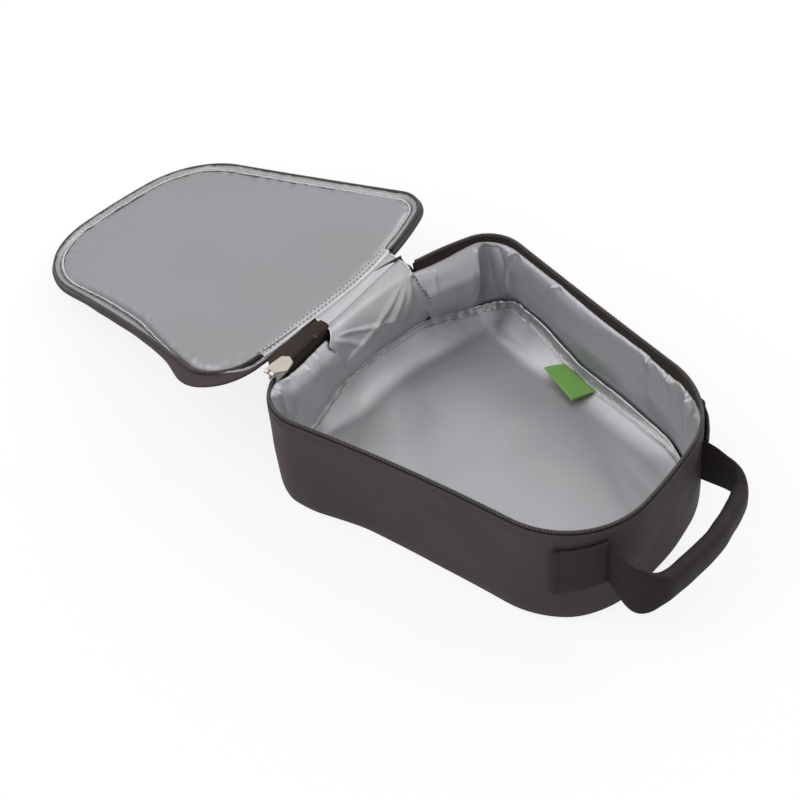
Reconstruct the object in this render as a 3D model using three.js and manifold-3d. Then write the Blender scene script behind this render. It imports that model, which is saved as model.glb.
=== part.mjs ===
// Insulated lunch bag, lying on its back panel with the zipped front panel opened flat past
// the wide end. Millimetres, +Z up. The origin is the middle of the back panel's outer face,
// on the surface the bag lies on, and +X runs from the hinged wide end to the handle.
//
// The plan is worked out from the wide end: x = 0 is the wide end's outer face and
// x = BAG_LENGTH the narrow end's. An inset is a distance in from the outer face of the wall.
// The lid is drawn closed, over the zip plane, and then turned about its hinge.

import * as THREE from 'three';
import { mergeVertices } from 'three/addons/utils/BufferGeometryUtils.js';
import Module from 'manifold-3d';

const wasm = await Module();
wasm.setup();

// Plan of the bag. The near half still has its zip closed beside the hinge, so its wide end
// stays nearly straight, and the free far half bows back from the hinge.
const BAG_LENGTH = 255;
const NEAR_HALF_WIDTH = 113;
const FAR_HALF_WIDTH = 110.5;
const NEAR_BOW_RADIUS = 650;
const FAR_BOW_RADIUS = 240;
const NEAR_WIDE_CORNER_RADIUS = 32;
const FAR_WIDE_CORNER_RADIUS = 29;
const NEAR_HOLLOW_RADIUS = 1270;
const FAR_HOLLOW_RADIUS = 6000;
const NEAR_END_HALF_WIDTH = 85.5;
const FAR_END_HALF_WIDTH = 88;
const NEAR_NARROW_CORNER_RADIUS = 64;
const FAR_NARROW_CORNER_RADIUS = 61.5;
const END_BOW_RADIUS = 400;
const END_MIDDLE_Y = -35;

// Heights
const TRAY_HEIGHT = 80;
const LID_HEIGHT = 9;
const SEAM_BELOW_ZIP = 7;
const LID_SEAM_ABOVE_ZIP = 4;

// Cloth, foam and lining
const FABRIC = 1.0;
const FOAM = 3.0;
const LID_FOAM = 1.5;
const LINING = 0.8;
const GAP = 0.3;
const LINING_TOP_BELOW_ZIP = 13.5;
const FOAM_TOP_BELOW_ZIP = 16.5;
const BINDING_WIDTH = 3.0;
const BINDING_HEIGHT = 2.5;
const LID_BINDING_WIDTH = 2.0;
const LID_BINDING_HEIGHT = 1.0;
const WALL_SEAM_WIDTH = 2.4;
const WALL_SEAM_HEIGHT = 1.5;
const HEM_WIDTH = 6.5;

// Zip
const TAPE = 1.0;
const TAPE_WIDTH = 14;
const COIL_THICKNESS = 2.4;
const COIL_WIDTH = 1.5;
const COIL_TO_ZIP_PLANE = 1.1;
const TAPE_EDGE_TO_ZIP_PLANE = 3.0;
const STOP_LENGTH = 2.2;

// Sewn hinge, between the two ends of the zip
const HINGE_NEAR = 44;
const HINGE_FAR = 50;
const HINGE_OFFSET = 4.5;
const HINGE_RISE = 0.15;
const HINGE_ARCH = 4.5;
const FLAP_ARCH = 6.2;
const FLOOR_CLEARANCE = 0.3;
const ARCH_STEPS = 8;
const HINGE_STATIONS = 9;

// Zip slider and its pull
const SLIDER_LENGTH = 11;
const SLIDER_WIDTH = 7;
const SLIDER_PLATE = 1.0;
const SLIDER_BODY_GAP = 4.3;
const SLIDER_TRAVEL = 34;
const POST_LENGTH = 6;
const POST_THICKNESS = 1.6;
const LINK_THICKNESS = 1.4;
const LINK_WIDTH = 1.1;
const LINK_PIN_RADIUS = 0.65;
const LINK_REACH = 5.7;
const LINK_STUB_LENGTH = 1.2;
const TAB_LENGTH = 18;
const TAB_WIDTH = 12;
const TAB_THICKNESS = 1.5;
const TAB_SHOULDER = 5.4;
const TAB_POINT = 2.7;
const TAB_POINT_WIDTH = 9;
const TAB_SHIFT = 2.5;
const TAB_EYE_RADIUS = 1.7;
const TAB_LUG_WIDTH = 2.8;
const PIN_CLEARANCE = 0.3;
const ROUND_SEGMENTS = 12;

// Carry handle: flat webbing that is folded and sewn into a thicker grip
const WEBBING = 1.8;
const WEBBING_WIDTH = 36;
const HANDLE_Z = 50;
const GRIP_THICKNESS = 12;
const GRIP_WIDTH = 23;
const ANCHOR_FROM_DEG = 26;
const ANCHOR_TO_DEG = 57;
const ANCHOR_STEPS = 6;
const HANDLE_REACH = 36;
const GRIP_HALF_SPAN = 48;
const GRIP_BOW = 10;
const LEAD_X = 8;
const LEAD_Y = 2.6;

// Shares of the handle's run: where the grip is sewn and how long each end takes to roll up
const GRIP_FROM = 0.27;
const GRIP_TO = 0.77;
const ROLL_SHARE = 0.16;
const GRIP_STATIONS = 13;
const STRAP_STATIONS = 7;

// Woven label, a folded loop sewn into the floor seam
const LABEL_LENGTH = 33;
const LABEL_DROP = 13;
const LABEL_THICKNESS = 1.4;
const LABEL_X = 112;
const LABEL_TILT_DEG = 15;

// Steps in each curve
const BOW_STEPS = 4;
const CORNER_STEPS = 7;
const HOLLOW_STEPS = 4;
const END_STEPS = 3;
const MERGE_TOLERANCE = 1e-5;

const BAG_MIDDLE = BAG_LENGTH / 2;
const RAD = Math.PI / 180;

// Insets and levels that several pieces share
const TAPE_INSET = FABRIC + GAP;
const FOAM_INSET = FABRIC + GAP;
const LINING_INSET = FOAM_INSET + FOAM + GAP;
const INNER_FACE = LINING_INSET + LINING;
const BINDING_INSET = INNER_FACE + GAP;
const COIL_INSET = TAPE_INSET + TAPE / 2 - COIL_THICKNESS / 2;
const FLOOR_FOAM_Z = FABRIC + GAP;
const FLOOR_LINING_Z = FLOOR_FOAM_Z + FOAM + GAP;
const FLOOR_Z = FLOOR_LINING_Z + LINING + GAP;
const LINING_TOP = TRAY_HEIGHT - LINING_TOP_BELOW_ZIP;
const LID_TOP = TRAY_HEIGHT + LID_HEIGHT;
const LID_PANEL_Z = LID_TOP - FABRIC;
const LID_FOAM_Z = LID_PANEL_Z - GAP - LID_FOAM;
const LID_LINING_Z = LID_FOAM_Z - GAP - LINING;
const LID_FACE = LID_LINING_Z - GAP;
const HINGE_Z = TRAY_HEIGHT + HINGE_RISE;

// Opening angle at which the lid's tip comes down to the surface the bag lies on
const tipReach = Math.hypot(BAG_LENGTH + HINGE_OFFSET, LID_HEIGHT - HINGE_RISE);
const tipRise = Math.atan2(LID_HEIGHT - HINGE_RISE, BAG_LENGTH + HINGE_OFFSET);
const LID_OPEN = Math.PI + Math.asin((HINGE_Z - FLOOR_CLEARANCE) / tipReach) - tipRise;

const fabricFinish = { color: 0x52494c, roughness: 0.8, metalness: 0 };
const tapeFinish = { color: 0x2c2826, roughness: 0.85, metalness: 0 };
const foamFinish = { color: 0xd8d8d4, roughness: 0.95, metalness: 0 };
const liningFinish = { color: 0xa3a3ac, roughness: 0.4, metalness: 0.6 };
const bindingFinish = { color: 0xc4c4ca, roughness: 0.45, metalness: 0.5 };
const labelFinish = { color: 0x78b455, roughness: 0.8, metalness: 0 };
const webbingFinish = { color: 0x3a3432, roughness: 0.8, metalness: 0 };
const metalFinish = { color: 0xc3bcb1, roughness: 0.35, metalness: 0.9 };

const bag = new THREE.Group();

// The lid's own frame is the bag's, drawn closed and turned about the hinge.
const lid = new THREE.Group();
const lidTurn = new THREE.Group();
lidTurn.position.set(-HINGE_OFFSET - BAG_MIDDLE, 0, HINGE_Z);
lidTurn.rotation.y = -LID_OPEN;
lid.position.set(HINGE_OFFSET + BAG_MIDDLE, 0, -HINGE_Z);
lidTurn.add(lid);
bag.add(lidTurn);

function addPiece(group, name, geometry, finish) {
  const mesh = new THREE.Mesh(geometry, new THREE.MeshStandardMaterial(finish));
  mesh.name = name;
  group.add(mesh);
  return mesh;
}

// Points on an arc, both ends included.
function arc(centre, radius, from, to, steps) {
  const points = [];
  for (let i = 0; i <= steps; i += 1) {
    const angle = from + (to - from) * i / steps;
    points.push(new THREE.Vector2(
      centre.x + radius * Math.cos(angle),
      centre.y + radius * Math.sin(angle),
    ));
  }
  return points;
}

function direction(from, to) {
  return Math.atan2(to.y - from.y, to.x - from.x);
}

// Middle of the narrow end's arc. The bag reaches BAG_LENGTH on the near corner beside it.
const nearEndY = NEAR_NARROW_CORNER_RADIUS - NEAR_END_HALF_WIDTH;
const endMiddle = new THREE.Vector2(
  BAG_LENGTH - NEAR_NARROW_CORNER_RADIUS - Math.sqrt(
    (END_BOW_RADIUS - NEAR_NARROW_CORNER_RADIUS) ** 2 - (nearEndY - END_MIDDLE_Y) ** 2,
  ),
  END_MIDDLE_Y,
);

// Circle centres and radii of one half of the plan, drawn on the +Y side.
function halfPlan(side) {
  const isNear = side < 0;
  const bowRadius = isNear ? NEAR_BOW_RADIUS : FAR_BOW_RADIUS;
  const wideRadius = isNear ? NEAR_WIDE_CORNER_RADIUS : FAR_WIDE_CORNER_RADIUS;
  const hollowRadius = isNear ? NEAR_HOLLOW_RADIUS : FAR_HOLLOW_RADIUS;
  const narrowRadius = isNear ? NEAR_NARROW_CORNER_RADIUS : FAR_NARROW_CORNER_RADIUS;
  const bow = new THREE.Vector2(bowRadius, 0);
  const wide = new THREE.Vector2(0, (isNear ? NEAR_HALF_WIDTH : FAR_HALF_WIDTH) - wideRadius);
  wide.x = bowRadius - Math.sqrt((bowRadius - wideRadius) ** 2 - wide.y ** 2);
  const end = new THREE.Vector2(endMiddle.x, side * endMiddle.y);
  const endHalfWidth = isNear ? NEAR_END_HALF_WIDTH : FAR_END_HALF_WIDTH;
  const narrow = new THREE.Vector2(0, endHalfWidth - narrowRadius);
  narrow.x = end.x
    + Math.sqrt((END_BOW_RADIUS - narrowRadius) ** 2 - (narrow.y - end.y) ** 2);
  const toWide = hollowRadius + wideRadius;
  const toNarrow = hollowRadius + narrowRadius;
  const span = narrow.clone().sub(wide);
  const length = span.length();
  const along = (toWide ** 2 - toNarrow ** 2 + length ** 2) / (2 * length);
  const out = Math.sqrt(toWide ** 2 - along ** 2);
  span.divideScalar(length);
  const hollow = new THREE.Vector2(
    wide.x + along * span.x - out * span.y,
    wide.y + along * span.y + out * span.x,
  );
  return {
    side, bow, bowRadius, wide, wideRadius, hollow, hollowRadius, narrow, narrowRadius, end,
  };
}

const nearPlan = halfPlan(-1);
const farPlan = halfPlan(1);

// Outline of one half at an inset, from the wide end at a distance startY off the middle
// line round to the end of the narrow corner. It is drawn on the +Y side.
function halfOutline(plan, inset, startY) {
  const { bow, wide, hollow, narrow, end } = plan;
  const bowReach = plan.bowRadius - inset;
  const toWide = direction(bow, wide);
  return [
    ...arc(bow, bowReach, Math.PI - Math.asin(startY / bowReach), toWide, BOW_STEPS).slice(0, -1),
    ...arc(wide, plan.wideRadius - inset, toWide, direction(wide, hollow), CORNER_STEPS),
    ...arc(hollow, plan.hollowRadius + inset, direction(hollow, wide),
      direction(hollow, narrow), HOLLOW_STEPS).slice(1, -1),
    ...arc(narrow, plan.narrowRadius - inset, direction(narrow, hollow),
      direction(end, narrow), CORNER_STEPS),
  ];
}

const mirrored = (points) => points.map((p) => new THREE.Vector2(p.x, -p.y));

// Path round the bag at an inset, from the near side of the wide end to its far side.
function roundPath(inset, nearY, farY) {
  const near = mirrored(halfOutline(nearPlan, inset, nearY));
  const far = halfOutline(farPlan, inset, farY).reverse();
  const end = arc(endMiddle, END_BOW_RADIUS - inset, -direction(nearPlan.end, nearPlan.narrow),
    direction(farPlan.end, farPlan.narrow), END_STEPS);
  return [...near, ...end.slice(1, -1), ...far];
}

// Path along the wide end at an inset, from the near side to the far side.
function wideEndPath(inset, nearY, farY) {
  const half = (plan, y) => {
    const radius = plan.bowRadius - inset;
    return arc(plan.bow, radius, Math.PI - Math.asin(y / radius), Math.PI, BOW_STEPS);
  };
  return [...mirrored(half(nearPlan, nearY)), ...half(farPlan, farY).reverse().slice(1)];
}

// Distance in from the wide end's middle to its outer face at a place along the hinge.
function wideEndX(y) {
  const radius = y < 0 ? NEAR_BOW_RADIUS : FAR_BOW_RADIUS;
  return radius - Math.sqrt(radius ** 2 - y ** 2);
}

function extrude(points, holes, fromZ, toZ) {
  const shape = new THREE.Shape(points);
  shape.holes = holes.map((hole) => new THREE.Path(hole));
  const geometry = new THREE.ExtrudeGeometry(shape, { depth: toZ - fromZ, bevelEnabled: false });
  return geometry.translate(-BAG_MIDDLE, 0, fromZ);
}

const closedPath = (inset) => roundPath(inset, 0, 0).slice(0, -1);
const panel = (inset, fromZ, toZ) => extrude(closedPath(inset), [], fromZ, toZ);

function ring(inset, thickness, fromZ, toZ) {
  return extrude(closedPath(inset), [closedPath(inset + thickness)], fromZ, toZ);
}

// Wall that runs round the bag from one hinge seam to the other.
function sideWall(inset, thickness, fromZ, toZ, nearY = HINGE_NEAR, farY = HINGE_FAR) {
  const outer = roundPath(inset, nearY, farY);
  const inner = roundPath(inset + thickness, nearY, farY).reverse();
  return extrude([...outer, ...inner], [], fromZ, toZ);
}

// Wall along the hinge only, clear of the two seams.
function hingeWall(inset, thickness, fromZ, toZ) {
  const outer = wideEndPath(inset, HINGE_NEAR - GAP, HINGE_FAR - GAP);
  const inner = wideEndPath(inset + thickness, HINGE_NEAR - GAP, HINGE_FAR - GAP).reverse();
  return extrude([...outer, ...inner], [], fromZ, toZ);
}

// Closed skin over a row of rings that all have the same number of points.
function loft(rings) {
  const count = rings[0].length;
  const positions = rings.flat().flatMap((p) => [p.x, p.y, p.z]);
  const index = [];
  for (let r = 0; r < rings.length - 1; r += 1) {
    for (let i = 0; i < count; i += 1) {
      const next = (i + 1) % count;
      const a = r * count + i;
      const b = r * count + next;
      index.push(a, b, b + count, a, b + count, a + count);
    }
  }
  const last = (rings.length - 1) * count;
  const capOf = (points) => {
    const origin = points[0];
    const across = points[1].clone().sub(origin).normalize();
    const normal = new THREE.Vector3();
    for (let i = 0; i < count; i += 1) {
      normal.add(points[i].clone().sub(origin).cross(points[(i + 1) % count].clone().sub(origin)));
    }
    const up = normal.normalize().clone().cross(across);
    const flat = points.map((p) => {
      const offset = p.clone().sub(origin);
      return new THREE.Vector2(offset.dot(across), offset.dot(up));
    });
    return THREE.ShapeUtils.triangulateShape(flat, []);
  };
  for (const [a, b, c] of capOf(rings[0])) index.push(c, b, a);
  for (const [a, b, c] of capOf(rings[rings.length - 1])) index.push(last + a, last + b, last + c);
  const geometry = new THREE.BufferGeometry();
  geometry.setAttribute('position', new THREE.Float32BufferAttribute(positions, 3));
  geometry.setIndex(signedVolume(positions, index) < 0 ? index.reverse() : index);
  geometry.computeVertexNormals();
  return geometry;
}

function signedVolume(positions, index) {
  let volume = 0;
  const corner = (i) => new THREE.Vector3().fromArray(positions, index[i] * 3);
  for (let i = 0; i < index.length; i += 3) {
    volume += corner(i).dot(corner(i + 1).cross(corner(i + 2)));
  }
  return volume;
}

function toSolid(geometry) {
  const bare = geometry.clone();
  bare.deleteAttribute('normal');
  bare.deleteAttribute('uv');
  const merged = mergeVertices(bare, MERGE_TOLERANCE);
  return new wasm.Manifold(new wasm.Mesh({
    numProp: 3,
    vertProperties: new Float32Array(merged.attributes.position.array),
    triVerts: new Uint32Array(merged.index.array),
  }));
}

function fromSolid(solid) {
  const mesh = solid.getMesh();
  const geometry = new THREE.BufferGeometry();
  geometry.setAttribute('position', new THREE.BufferAttribute(mesh.vertProperties, 3));
  geometry.setIndex(new THREE.BufferAttribute(mesh.triVerts, 1));
  geometry.computeVertexNormals();
  return geometry;
}

const join = (parts) => fromSolid(parts.map(toSolid).reduce((sum, part) => sum.add(part)));
const cut = (whole, parts) => fromSolid(
  parts.map(toSolid).reduce((left, part) => left.subtract(part), toSolid(whole)),
);

// Box between two opposite corners.
function boxBetween(low, high) {
  const size = [0, 1, 2].map((i) => high[i] - low[i]);
  const middle = [0, 1, 2].map((i) => (high[i] + low[i]) / 2);
  return new THREE.BoxGeometry(...size).translate(...middle);
}

// Tray: outer cloth, foam and silver lining

function addTrayShell() {
  addPiece(bag, 'back_panel', panel(0, 0, FABRIC), fabricFinish);
  const seamTop = TRAY_HEIGHT - SEAM_BELOW_ZIP;
  addPiece(bag, 'side_gusset', sideWall(0, FABRIC, FABRIC + GAP, seamTop), fabricFinish);
  addPiece(bag, 'hinge_gusset', hingeWall(0, FABRIC, FABRIC + GAP, HINGE_Z - GAP), fabricFinish);
}

function addTrayFoam() {
  const foamTop = TRAY_HEIGHT - FOAM_TOP_BELOW_ZIP;
  const floor = panel(FOAM_INSET + FOAM + GAP, FLOOR_FOAM_Z, FLOOR_FOAM_Z + FOAM);
  addPiece(bag, 'back_foam', floor, foamFinish);
  addPiece(bag, 'side_foam', sideWall(FOAM_INSET, FOAM, FLOOR_FOAM_Z, foamTop), foamFinish);
  addPiece(bag, 'hinge_foam', hingeWall(FOAM_INSET, FOAM, FLOOR_FOAM_Z, foamTop), foamFinish);
}

function addTrayLining() {
  const floor = panel(LINING_INSET, FLOOR_LINING_Z, FLOOR_LINING_Z + LINING);
  const side = sideWall(LINING_INSET, LINING, FLOOR_Z, LINING_TOP);
  const hinge = hingeWall(LINING_INSET, LINING, FLOOR_Z, LINING_TOP);
  const binding = ring(BINDING_INSET, BINDING_WIDTH, FLOOR_Z, FLOOR_Z + BINDING_HEIGHT);
  addPiece(bag, 'floor_lining', floor, liningFinish);
  addPiece(bag, 'side_lining', side, liningFinish);
  addPiece(bag, 'hinge_lining_panel', hinge, liningFinish);
  addPiece(bag, 'floor_seam_binding', binding, bindingFinish);
}

// Bound seam that runs up the lining where the hinge panel meets the side lining.
function wallSeam(y) {
  const x = wideEndX(y) + INNER_FACE + GAP;
  const leanIn = Math.abs(wideEndX(y + WALL_SEAM_WIDTH / 2) - wideEndX(y));
  const fromZ = FLOOR_Z + BINDING_HEIGHT + GAP;
  const low = [x + leanIn - BAG_MIDDLE, y - WALL_SEAM_WIDTH / 2, fromZ];
  const high = [x + leanIn + WALL_SEAM_HEIGHT - BAG_MIDDLE, y + WALL_SEAM_WIDTH / 2, LINING_TOP];
  return boxBetween(low, high);
}

function addWallSeams() {
  addPiece(bag, 'near_wall_seam', wallSeam(-HINGE_NEAR), bindingFinish);
  addPiece(bag, 'far_wall_seam', wallSeam(HINGE_FAR), bindingFinish);
}

// The label hangs from the floor seam's binding and leans on the floor.
function addLabel() {
  const tilt = LABEL_TILT_DEG * RAD;
  const outline = halfOutline(farPlan, BINDING_INSET + BINDING_WIDTH, 0);
  const after = outline.findIndex((p) => p.x > LABEL_X && p.y > 0);
  const [from, to] = [outline[after - 1], outline[after]];
  const share = (LABEL_X - from.x) / (to.x - from.x);
  const seamY = from.y + (to.y - from.y) * share;
  const label = new THREE.BoxGeometry(LABEL_LENGTH, LABEL_DROP, LABEL_THICKNESS);
  label.translate(0, -LABEL_DROP / 2, LABEL_THICKNESS / 2);
  const mesh = addPiece(bag, 'woven_label', label, labelFinish);
  const lift = FLOOR_Z + LABEL_DROP * Math.sin(tilt);
  mesh.position.set(LABEL_X - BAG_MIDDLE, seamY - GAP, lift);
  mesh.rotation.set(tilt, 0, Math.atan2(to.y - from.y, to.x - from.x), 'ZXY');
}

// Zip: a tape and a coil on the tray and the same pair on the lid

// Height of something at a distance from the zip plane, below it on the tray and above it
// on the lid.
const fromZipPlane = (side, distance) => TRAY_HEIGHT + side * distance;

function zipStrip(side, inset, thickness, near, far, endGap) {
  const levels = [fromZipPlane(side, near), fromZipPlane(side, far)].sort((a, b) => a - b);
  return sideWall(inset, thickness, levels[0], levels[1], HINGE_NEAR + endGap, HINGE_FAR + endGap);
}

// Stop between a coil's end and the sewn hinge, on the edge of the tape.
function zipStop(side, y, inset) {
  const levels = [
    fromZipPlane(side, COIL_TO_ZIP_PLANE),
    fromZipPlane(side, TAPE_EDGE_TO_ZIP_PLANE - GAP),
  ].sort((a, b) => a - b);
  return boxBetween(
    [inset - BAG_MIDDLE, y - STOP_LENGTH / 2, levels[0]],
    [inset + COIL_THICKNESS - BAG_MIDDLE, y + STOP_LENGTH / 2, levels[1]],
  );
}

function addZip() {
  const rows = [
    { owner: 'tray', group: bag, side: -1, reach: TAPE_WIDTH },
    { owner: 'lid', group: lid, side: 1, reach: LID_HEIGHT - FABRIC - GAP },
  ];
  const coilReach = COIL_TO_ZIP_PLANE + COIL_WIDTH;
  const coilEnd = STOP_LENGTH + 2 * GAP;
  const stopMiddle = GAP + STOP_LENGTH / 2;
  const topY = HINGE_FAR + stopMiddle;
  for (const { owner, group, side, reach } of rows) {
    const tape = zipStrip(side, TAPE_INSET, TAPE, TAPE_EDGE_TO_ZIP_PLANE, reach, GAP);
    const coil = zipStrip(side, COIL_INSET, COIL_THICKNESS, COIL_TO_ZIP_PLANE, coilReach, coilEnd);
    const stop = zipStop(side, topY, COIL_INSET + wideEndX(topY));
    addPiece(group, `${owner}_zip_tape`, tape, tapeFinish);
    addPiece(group, `${owner}_zip_coil`, coil, tapeFinish);
    addPiece(group, `${owner}_zip_top_stop`, stop, metalFinish);
  }
  const bottomY = -HINGE_NEAR - stopMiddle;
  const bottomStop = zipStop(-1, bottomY, COIL_INSET + wideEndX(bottomY));
  addPiece(bag, 'zip_bottom_stop', bottomStop, metalFinish);
}

// Lid: front panel, border, foam and lining, drawn closed

function addLid() {
  const seamZ = TRAY_HEIGHT + LID_SEAM_ABOVE_ZIP;
  const gussetTop = LID_PANEL_Z - GAP;
  const foamInset = TAPE_INSET + TAPE + GAP;
  const liningInset = COIL_INSET + COIL_THICKNESS + GAP;
  const hingeFrom = HINGE_Z + GAP;
  const binding = sideWall(LINING_INSET, LID_BINDING_WIDTH, LID_FACE - LID_BINDING_HEIGHT,
    LID_FACE, HINGE_NEAR + STOP_LENGTH, HINGE_FAR + STOP_LENGTH);
  addPiece(lid, 'front_panel', panel(0, LID_PANEL_Z, LID_TOP), fabricFinish);
  addPiece(lid, 'lid_gusset', sideWall(0, FABRIC, seamZ, gussetTop), fabricFinish);
  addPiece(lid, 'lid_hinge_gusset', hingeWall(0, FABRIC, hingeFrom, gussetTop), fabricFinish);
  addPiece(lid, 'lid_foam', panel(foamInset, LID_FOAM_Z, LID_FOAM_Z + LID_FOAM), foamFinish);
  addPiece(lid, 'lid_lining', panel(liningInset, LID_LINING_Z, LID_LINING_Z + LINING),
    liningFinish);
  addPiece(lid, 'lid_binding', binding, bindingFinish);
}

// Stitched hem of the lid's lining along the hinge.
function addLidHem() {
  const inset = LINING_INSET + LID_BINDING_WIDTH + GAP;
  const nearY = NEAR_HALF_WIDTH - NEAR_WIDE_CORNER_RADIUS;
  const outer = wideEndPath(inset, nearY, HINGE_FAR);
  const inner = wideEndPath(inset + HEM_WIDTH, nearY, HINGE_FAR).reverse();
  const hem = extrude([...outer, ...inner], [], LID_FACE - LINING, LID_FACE);
  addPiece(lid, 'lid_lining_hem', hem, bindingFinish);
}

// Soft hinge: an arch of outer cloth and the lining flap over it

// Point at an offset from the closed lid's hinge axis, carried round to the open lid.
function onOpenLid(dx, dz) {
  return new THREE.Vector2(
    dx * Math.cos(LID_OPEN) - dz * Math.sin(LID_OPEN),
    dx * Math.sin(LID_OPEN) + dz * Math.cos(LID_OPEN),
  );
}

// Section line over the hinge at one place along it: up the tray wall, over the axis and
// down to the lid. Offsets are from the hinge axis.
function hingeLine(y, inset, arch, trayLeg, lidLeg) {
  const reach = HINGE_OFFSET + wideEndX(y) + inset;
  const tail = onOpenLid(reach, 0);
  const points = [];
  if (trayLeg > 0) points.push(new THREE.Vector2(reach, -trayLeg));
  for (let i = 0; i <= ARCH_STEPS; i += 1) {
    const angle = Math.PI * i / ARCH_STEPS;
    const sag = (1 - Math.cos(angle)) / 2 * tail.y;
    points.push(new THREE.Vector2(
      reach * Math.cos(angle) + (1 - Math.cos(angle)) / 2 * (tail.x + reach),
      arch * Math.sin(angle) + sag,
    ));
  }
  if (lidLeg > 0) points.push(onOpenLid(reach, lidLeg));
  return points;
}

// Sheet of a given thickness over the hinge, swept along the hinge axis.
function hingeSheet(inset, thickness, arch, trayLeg, lidLeg) {
  const rings = [];
  for (let i = 0; i < HINGE_STATIONS; i += 1) {
    const share = i / (HINGE_STATIONS - 1);
    const y = -HINGE_NEAR + GAP + (HINGE_NEAR + HINGE_FAR - 2 * GAP) * share;
    const under = hingeLine(y, inset, arch, trayLeg, lidLeg);
    const over = hingeLine(y, inset + thickness, arch + thickness, trayLeg, lidLeg);
    const section = [...over, ...under.reverse()];
    rings.push(section.map((p) => new THREE.Vector3(
      p.x - HINGE_OFFSET - BAG_MIDDLE, y, p.y + HINGE_Z,
    )));
  }
  return loft(rings);
}

function addSoftHinge() {
  const flapLeg = HINGE_Z - LINING_TOP - GAP;
  const flapLidLeg = LID_FACE - LINING - GAP - HINGE_Z;
  const flap = hingeSheet(LINING_INSET, LINING, FLAP_ARCH, flapLeg, flapLidLeg);
  addPiece(bag, 'hinge_fabric', hingeSheet(0, FABRIC, HINGE_ARCH, 0, 0), fabricFinish);
  addPiece(bag, 'hinge_lining_flap', flap, liningFinish);
}

// Zip slider, with its pull laid over it

// The slider is parked where the nearly straight run of the rim ends. Its parts are drawn
// about its own middle on the zip plane, with +Y along its run, and then put in place.
const tangentY = nearPlan.wide.y * NEAR_BOW_RADIUS / (NEAR_BOW_RADIUS - NEAR_WIDE_CORNER_RADIUS);
const RUN_ANGLE = Math.asin((tangentY - SLIDER_TRAVEL / 2) / NEAR_BOW_RADIUS);
const LINK_Y = -SLIDER_LENGTH / 2 - GAP - LINK_STUB_LENGTH - LINK_THICKNESS / 2;

const slider = new THREE.Group();
slider.position.set(
  wideEndX(-tangentY) + (COIL_INSET + COIL_THICKNESS / 2) * Math.cos(RUN_ANGLE) - BAG_MIDDLE,
  -tangentY + (COIL_INSET + COIL_THICKNESS / 2) * Math.sin(RUN_ANGLE),
  TRAY_HEIGHT,
);
slider.rotation.z = RUN_ANGLE;
bag.add(slider);

function addSlider() {
  const halfLength = SLIDER_LENGTH / 2;
  const plateAt = (x) => boxBetween(
    [x, -halfLength, -SLIDER_WIDTH / 2],
    [x + SLIDER_PLATE, halfLength, SLIDER_WIDTH / 2],
  );
  const outerX = -SLIDER_BODY_GAP / 2 - SLIDER_PLATE;
  const innerX = SLIDER_BODY_GAP / 2;
  const post = boxBetween(
    [outerX + SLIDER_PLATE / 2, -halfLength, -POST_THICKNESS / 2],
    [innerX + SLIDER_PLATE / 2, -halfLength + POST_LENGTH, POST_THICKNESS / 2],
  );
  addPiece(slider, 'zip_slider', join([plateAt(outerX), plateAt(innerX), post]), metalFinish);
}

// Cylinder along X or Y about a centre.
function roundBar(axis, radius, length, centre) {
  const bar = new THREE.CylinderGeometry(radius, radius, length, ROUND_SEGMENTS);
  if (axis === 'x') bar.rotateZ(Math.PI / 2);
  return bar.translate(...centre);
}

// The link turns on a stub in the slider's nose and carries the cross pin of the tab.
function addPullLink() {
  const stubFrom = -SLIDER_LENGTH / 2 - GAP;
  const stub = roundBar('y', LINK_PIN_RADIUS, stubFrom - LINK_Y, [0, (stubFrom + LINK_Y) / 2, 0]);
  const stem = boxBetween(
    [-LINK_WIDTH / 2, LINK_Y - LINK_THICKNESS / 2, -LINK_PIN_RADIUS],
    [LINK_WIDTH / 2, LINK_Y + LINK_THICKNESS / 2, LINK_REACH + LINK_PIN_RADIUS],
  );
  const pinLength = LINK_WIDTH + 2 * (GAP + TAB_LUG_WIDTH);
  const pin = roundBar('x', LINK_PIN_RADIUS, pinLength, [0, LINK_Y, LINK_REACH]);
  addPiece(slider, 'pull_link', join([stub, stem, pin]), metalFinish);
}

// Five-sided tab with two eyes round the link's cross pin.
function addPullTab() {
  const half = TAB_WIDTH / 2;
  const rootY = LINK_Y + TAB_EYE_RADIUS;
  const rootHalf = LINK_WIDTH / 2 + GAP + TAB_LUG_WIDTH;
  const tip = LINK_Y + TAB_LENGTH;
  const outline = [
    new THREE.Vector2(-rootHalf, rootY - GAP),
    new THREE.Vector2(rootHalf, rootY - GAP),
    new THREE.Vector2(TAB_SHIFT + half, rootY + TAB_SHOULDER),
    new THREE.Vector2(TAB_SHIFT + TAB_POINT_WIDTH / 2, tip - TAB_POINT),
    new THREE.Vector2(TAB_SHIFT, tip),
    new THREE.Vector2(TAB_SHIFT - TAB_POINT_WIDTH / 2, tip - TAB_POINT),
    new THREE.Vector2(TAB_SHIFT - half, rootY + TAB_SHOULDER),
  ];
  const plate = new THREE.ExtrudeGeometry(new THREE.Shape(outline), {
    depth: TAB_THICKNESS,
    bevelEnabled: false,
  }).translate(0, 0, LINK_REACH - TAB_THICKNESS / 2);
  const lugs = [-1, 1].map((side) => roundBar('x', TAB_EYE_RADIUS, TAB_LUG_WIDTH, [
    side * (LINK_WIDTH / 2 + GAP + TAB_LUG_WIDTH / 2), LINK_Y, LINK_REACH,
  ]));
  const bore = roundBar('x', LINK_PIN_RADIUS + PIN_CLEARANCE, TAB_WIDTH * 2,
    [0, LINK_Y, LINK_REACH]);
  addPiece(slider, 'pull_tab', cut(join([plate, ...lugs]), [bore]), metalFinish);
}

// Carry handle

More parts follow.
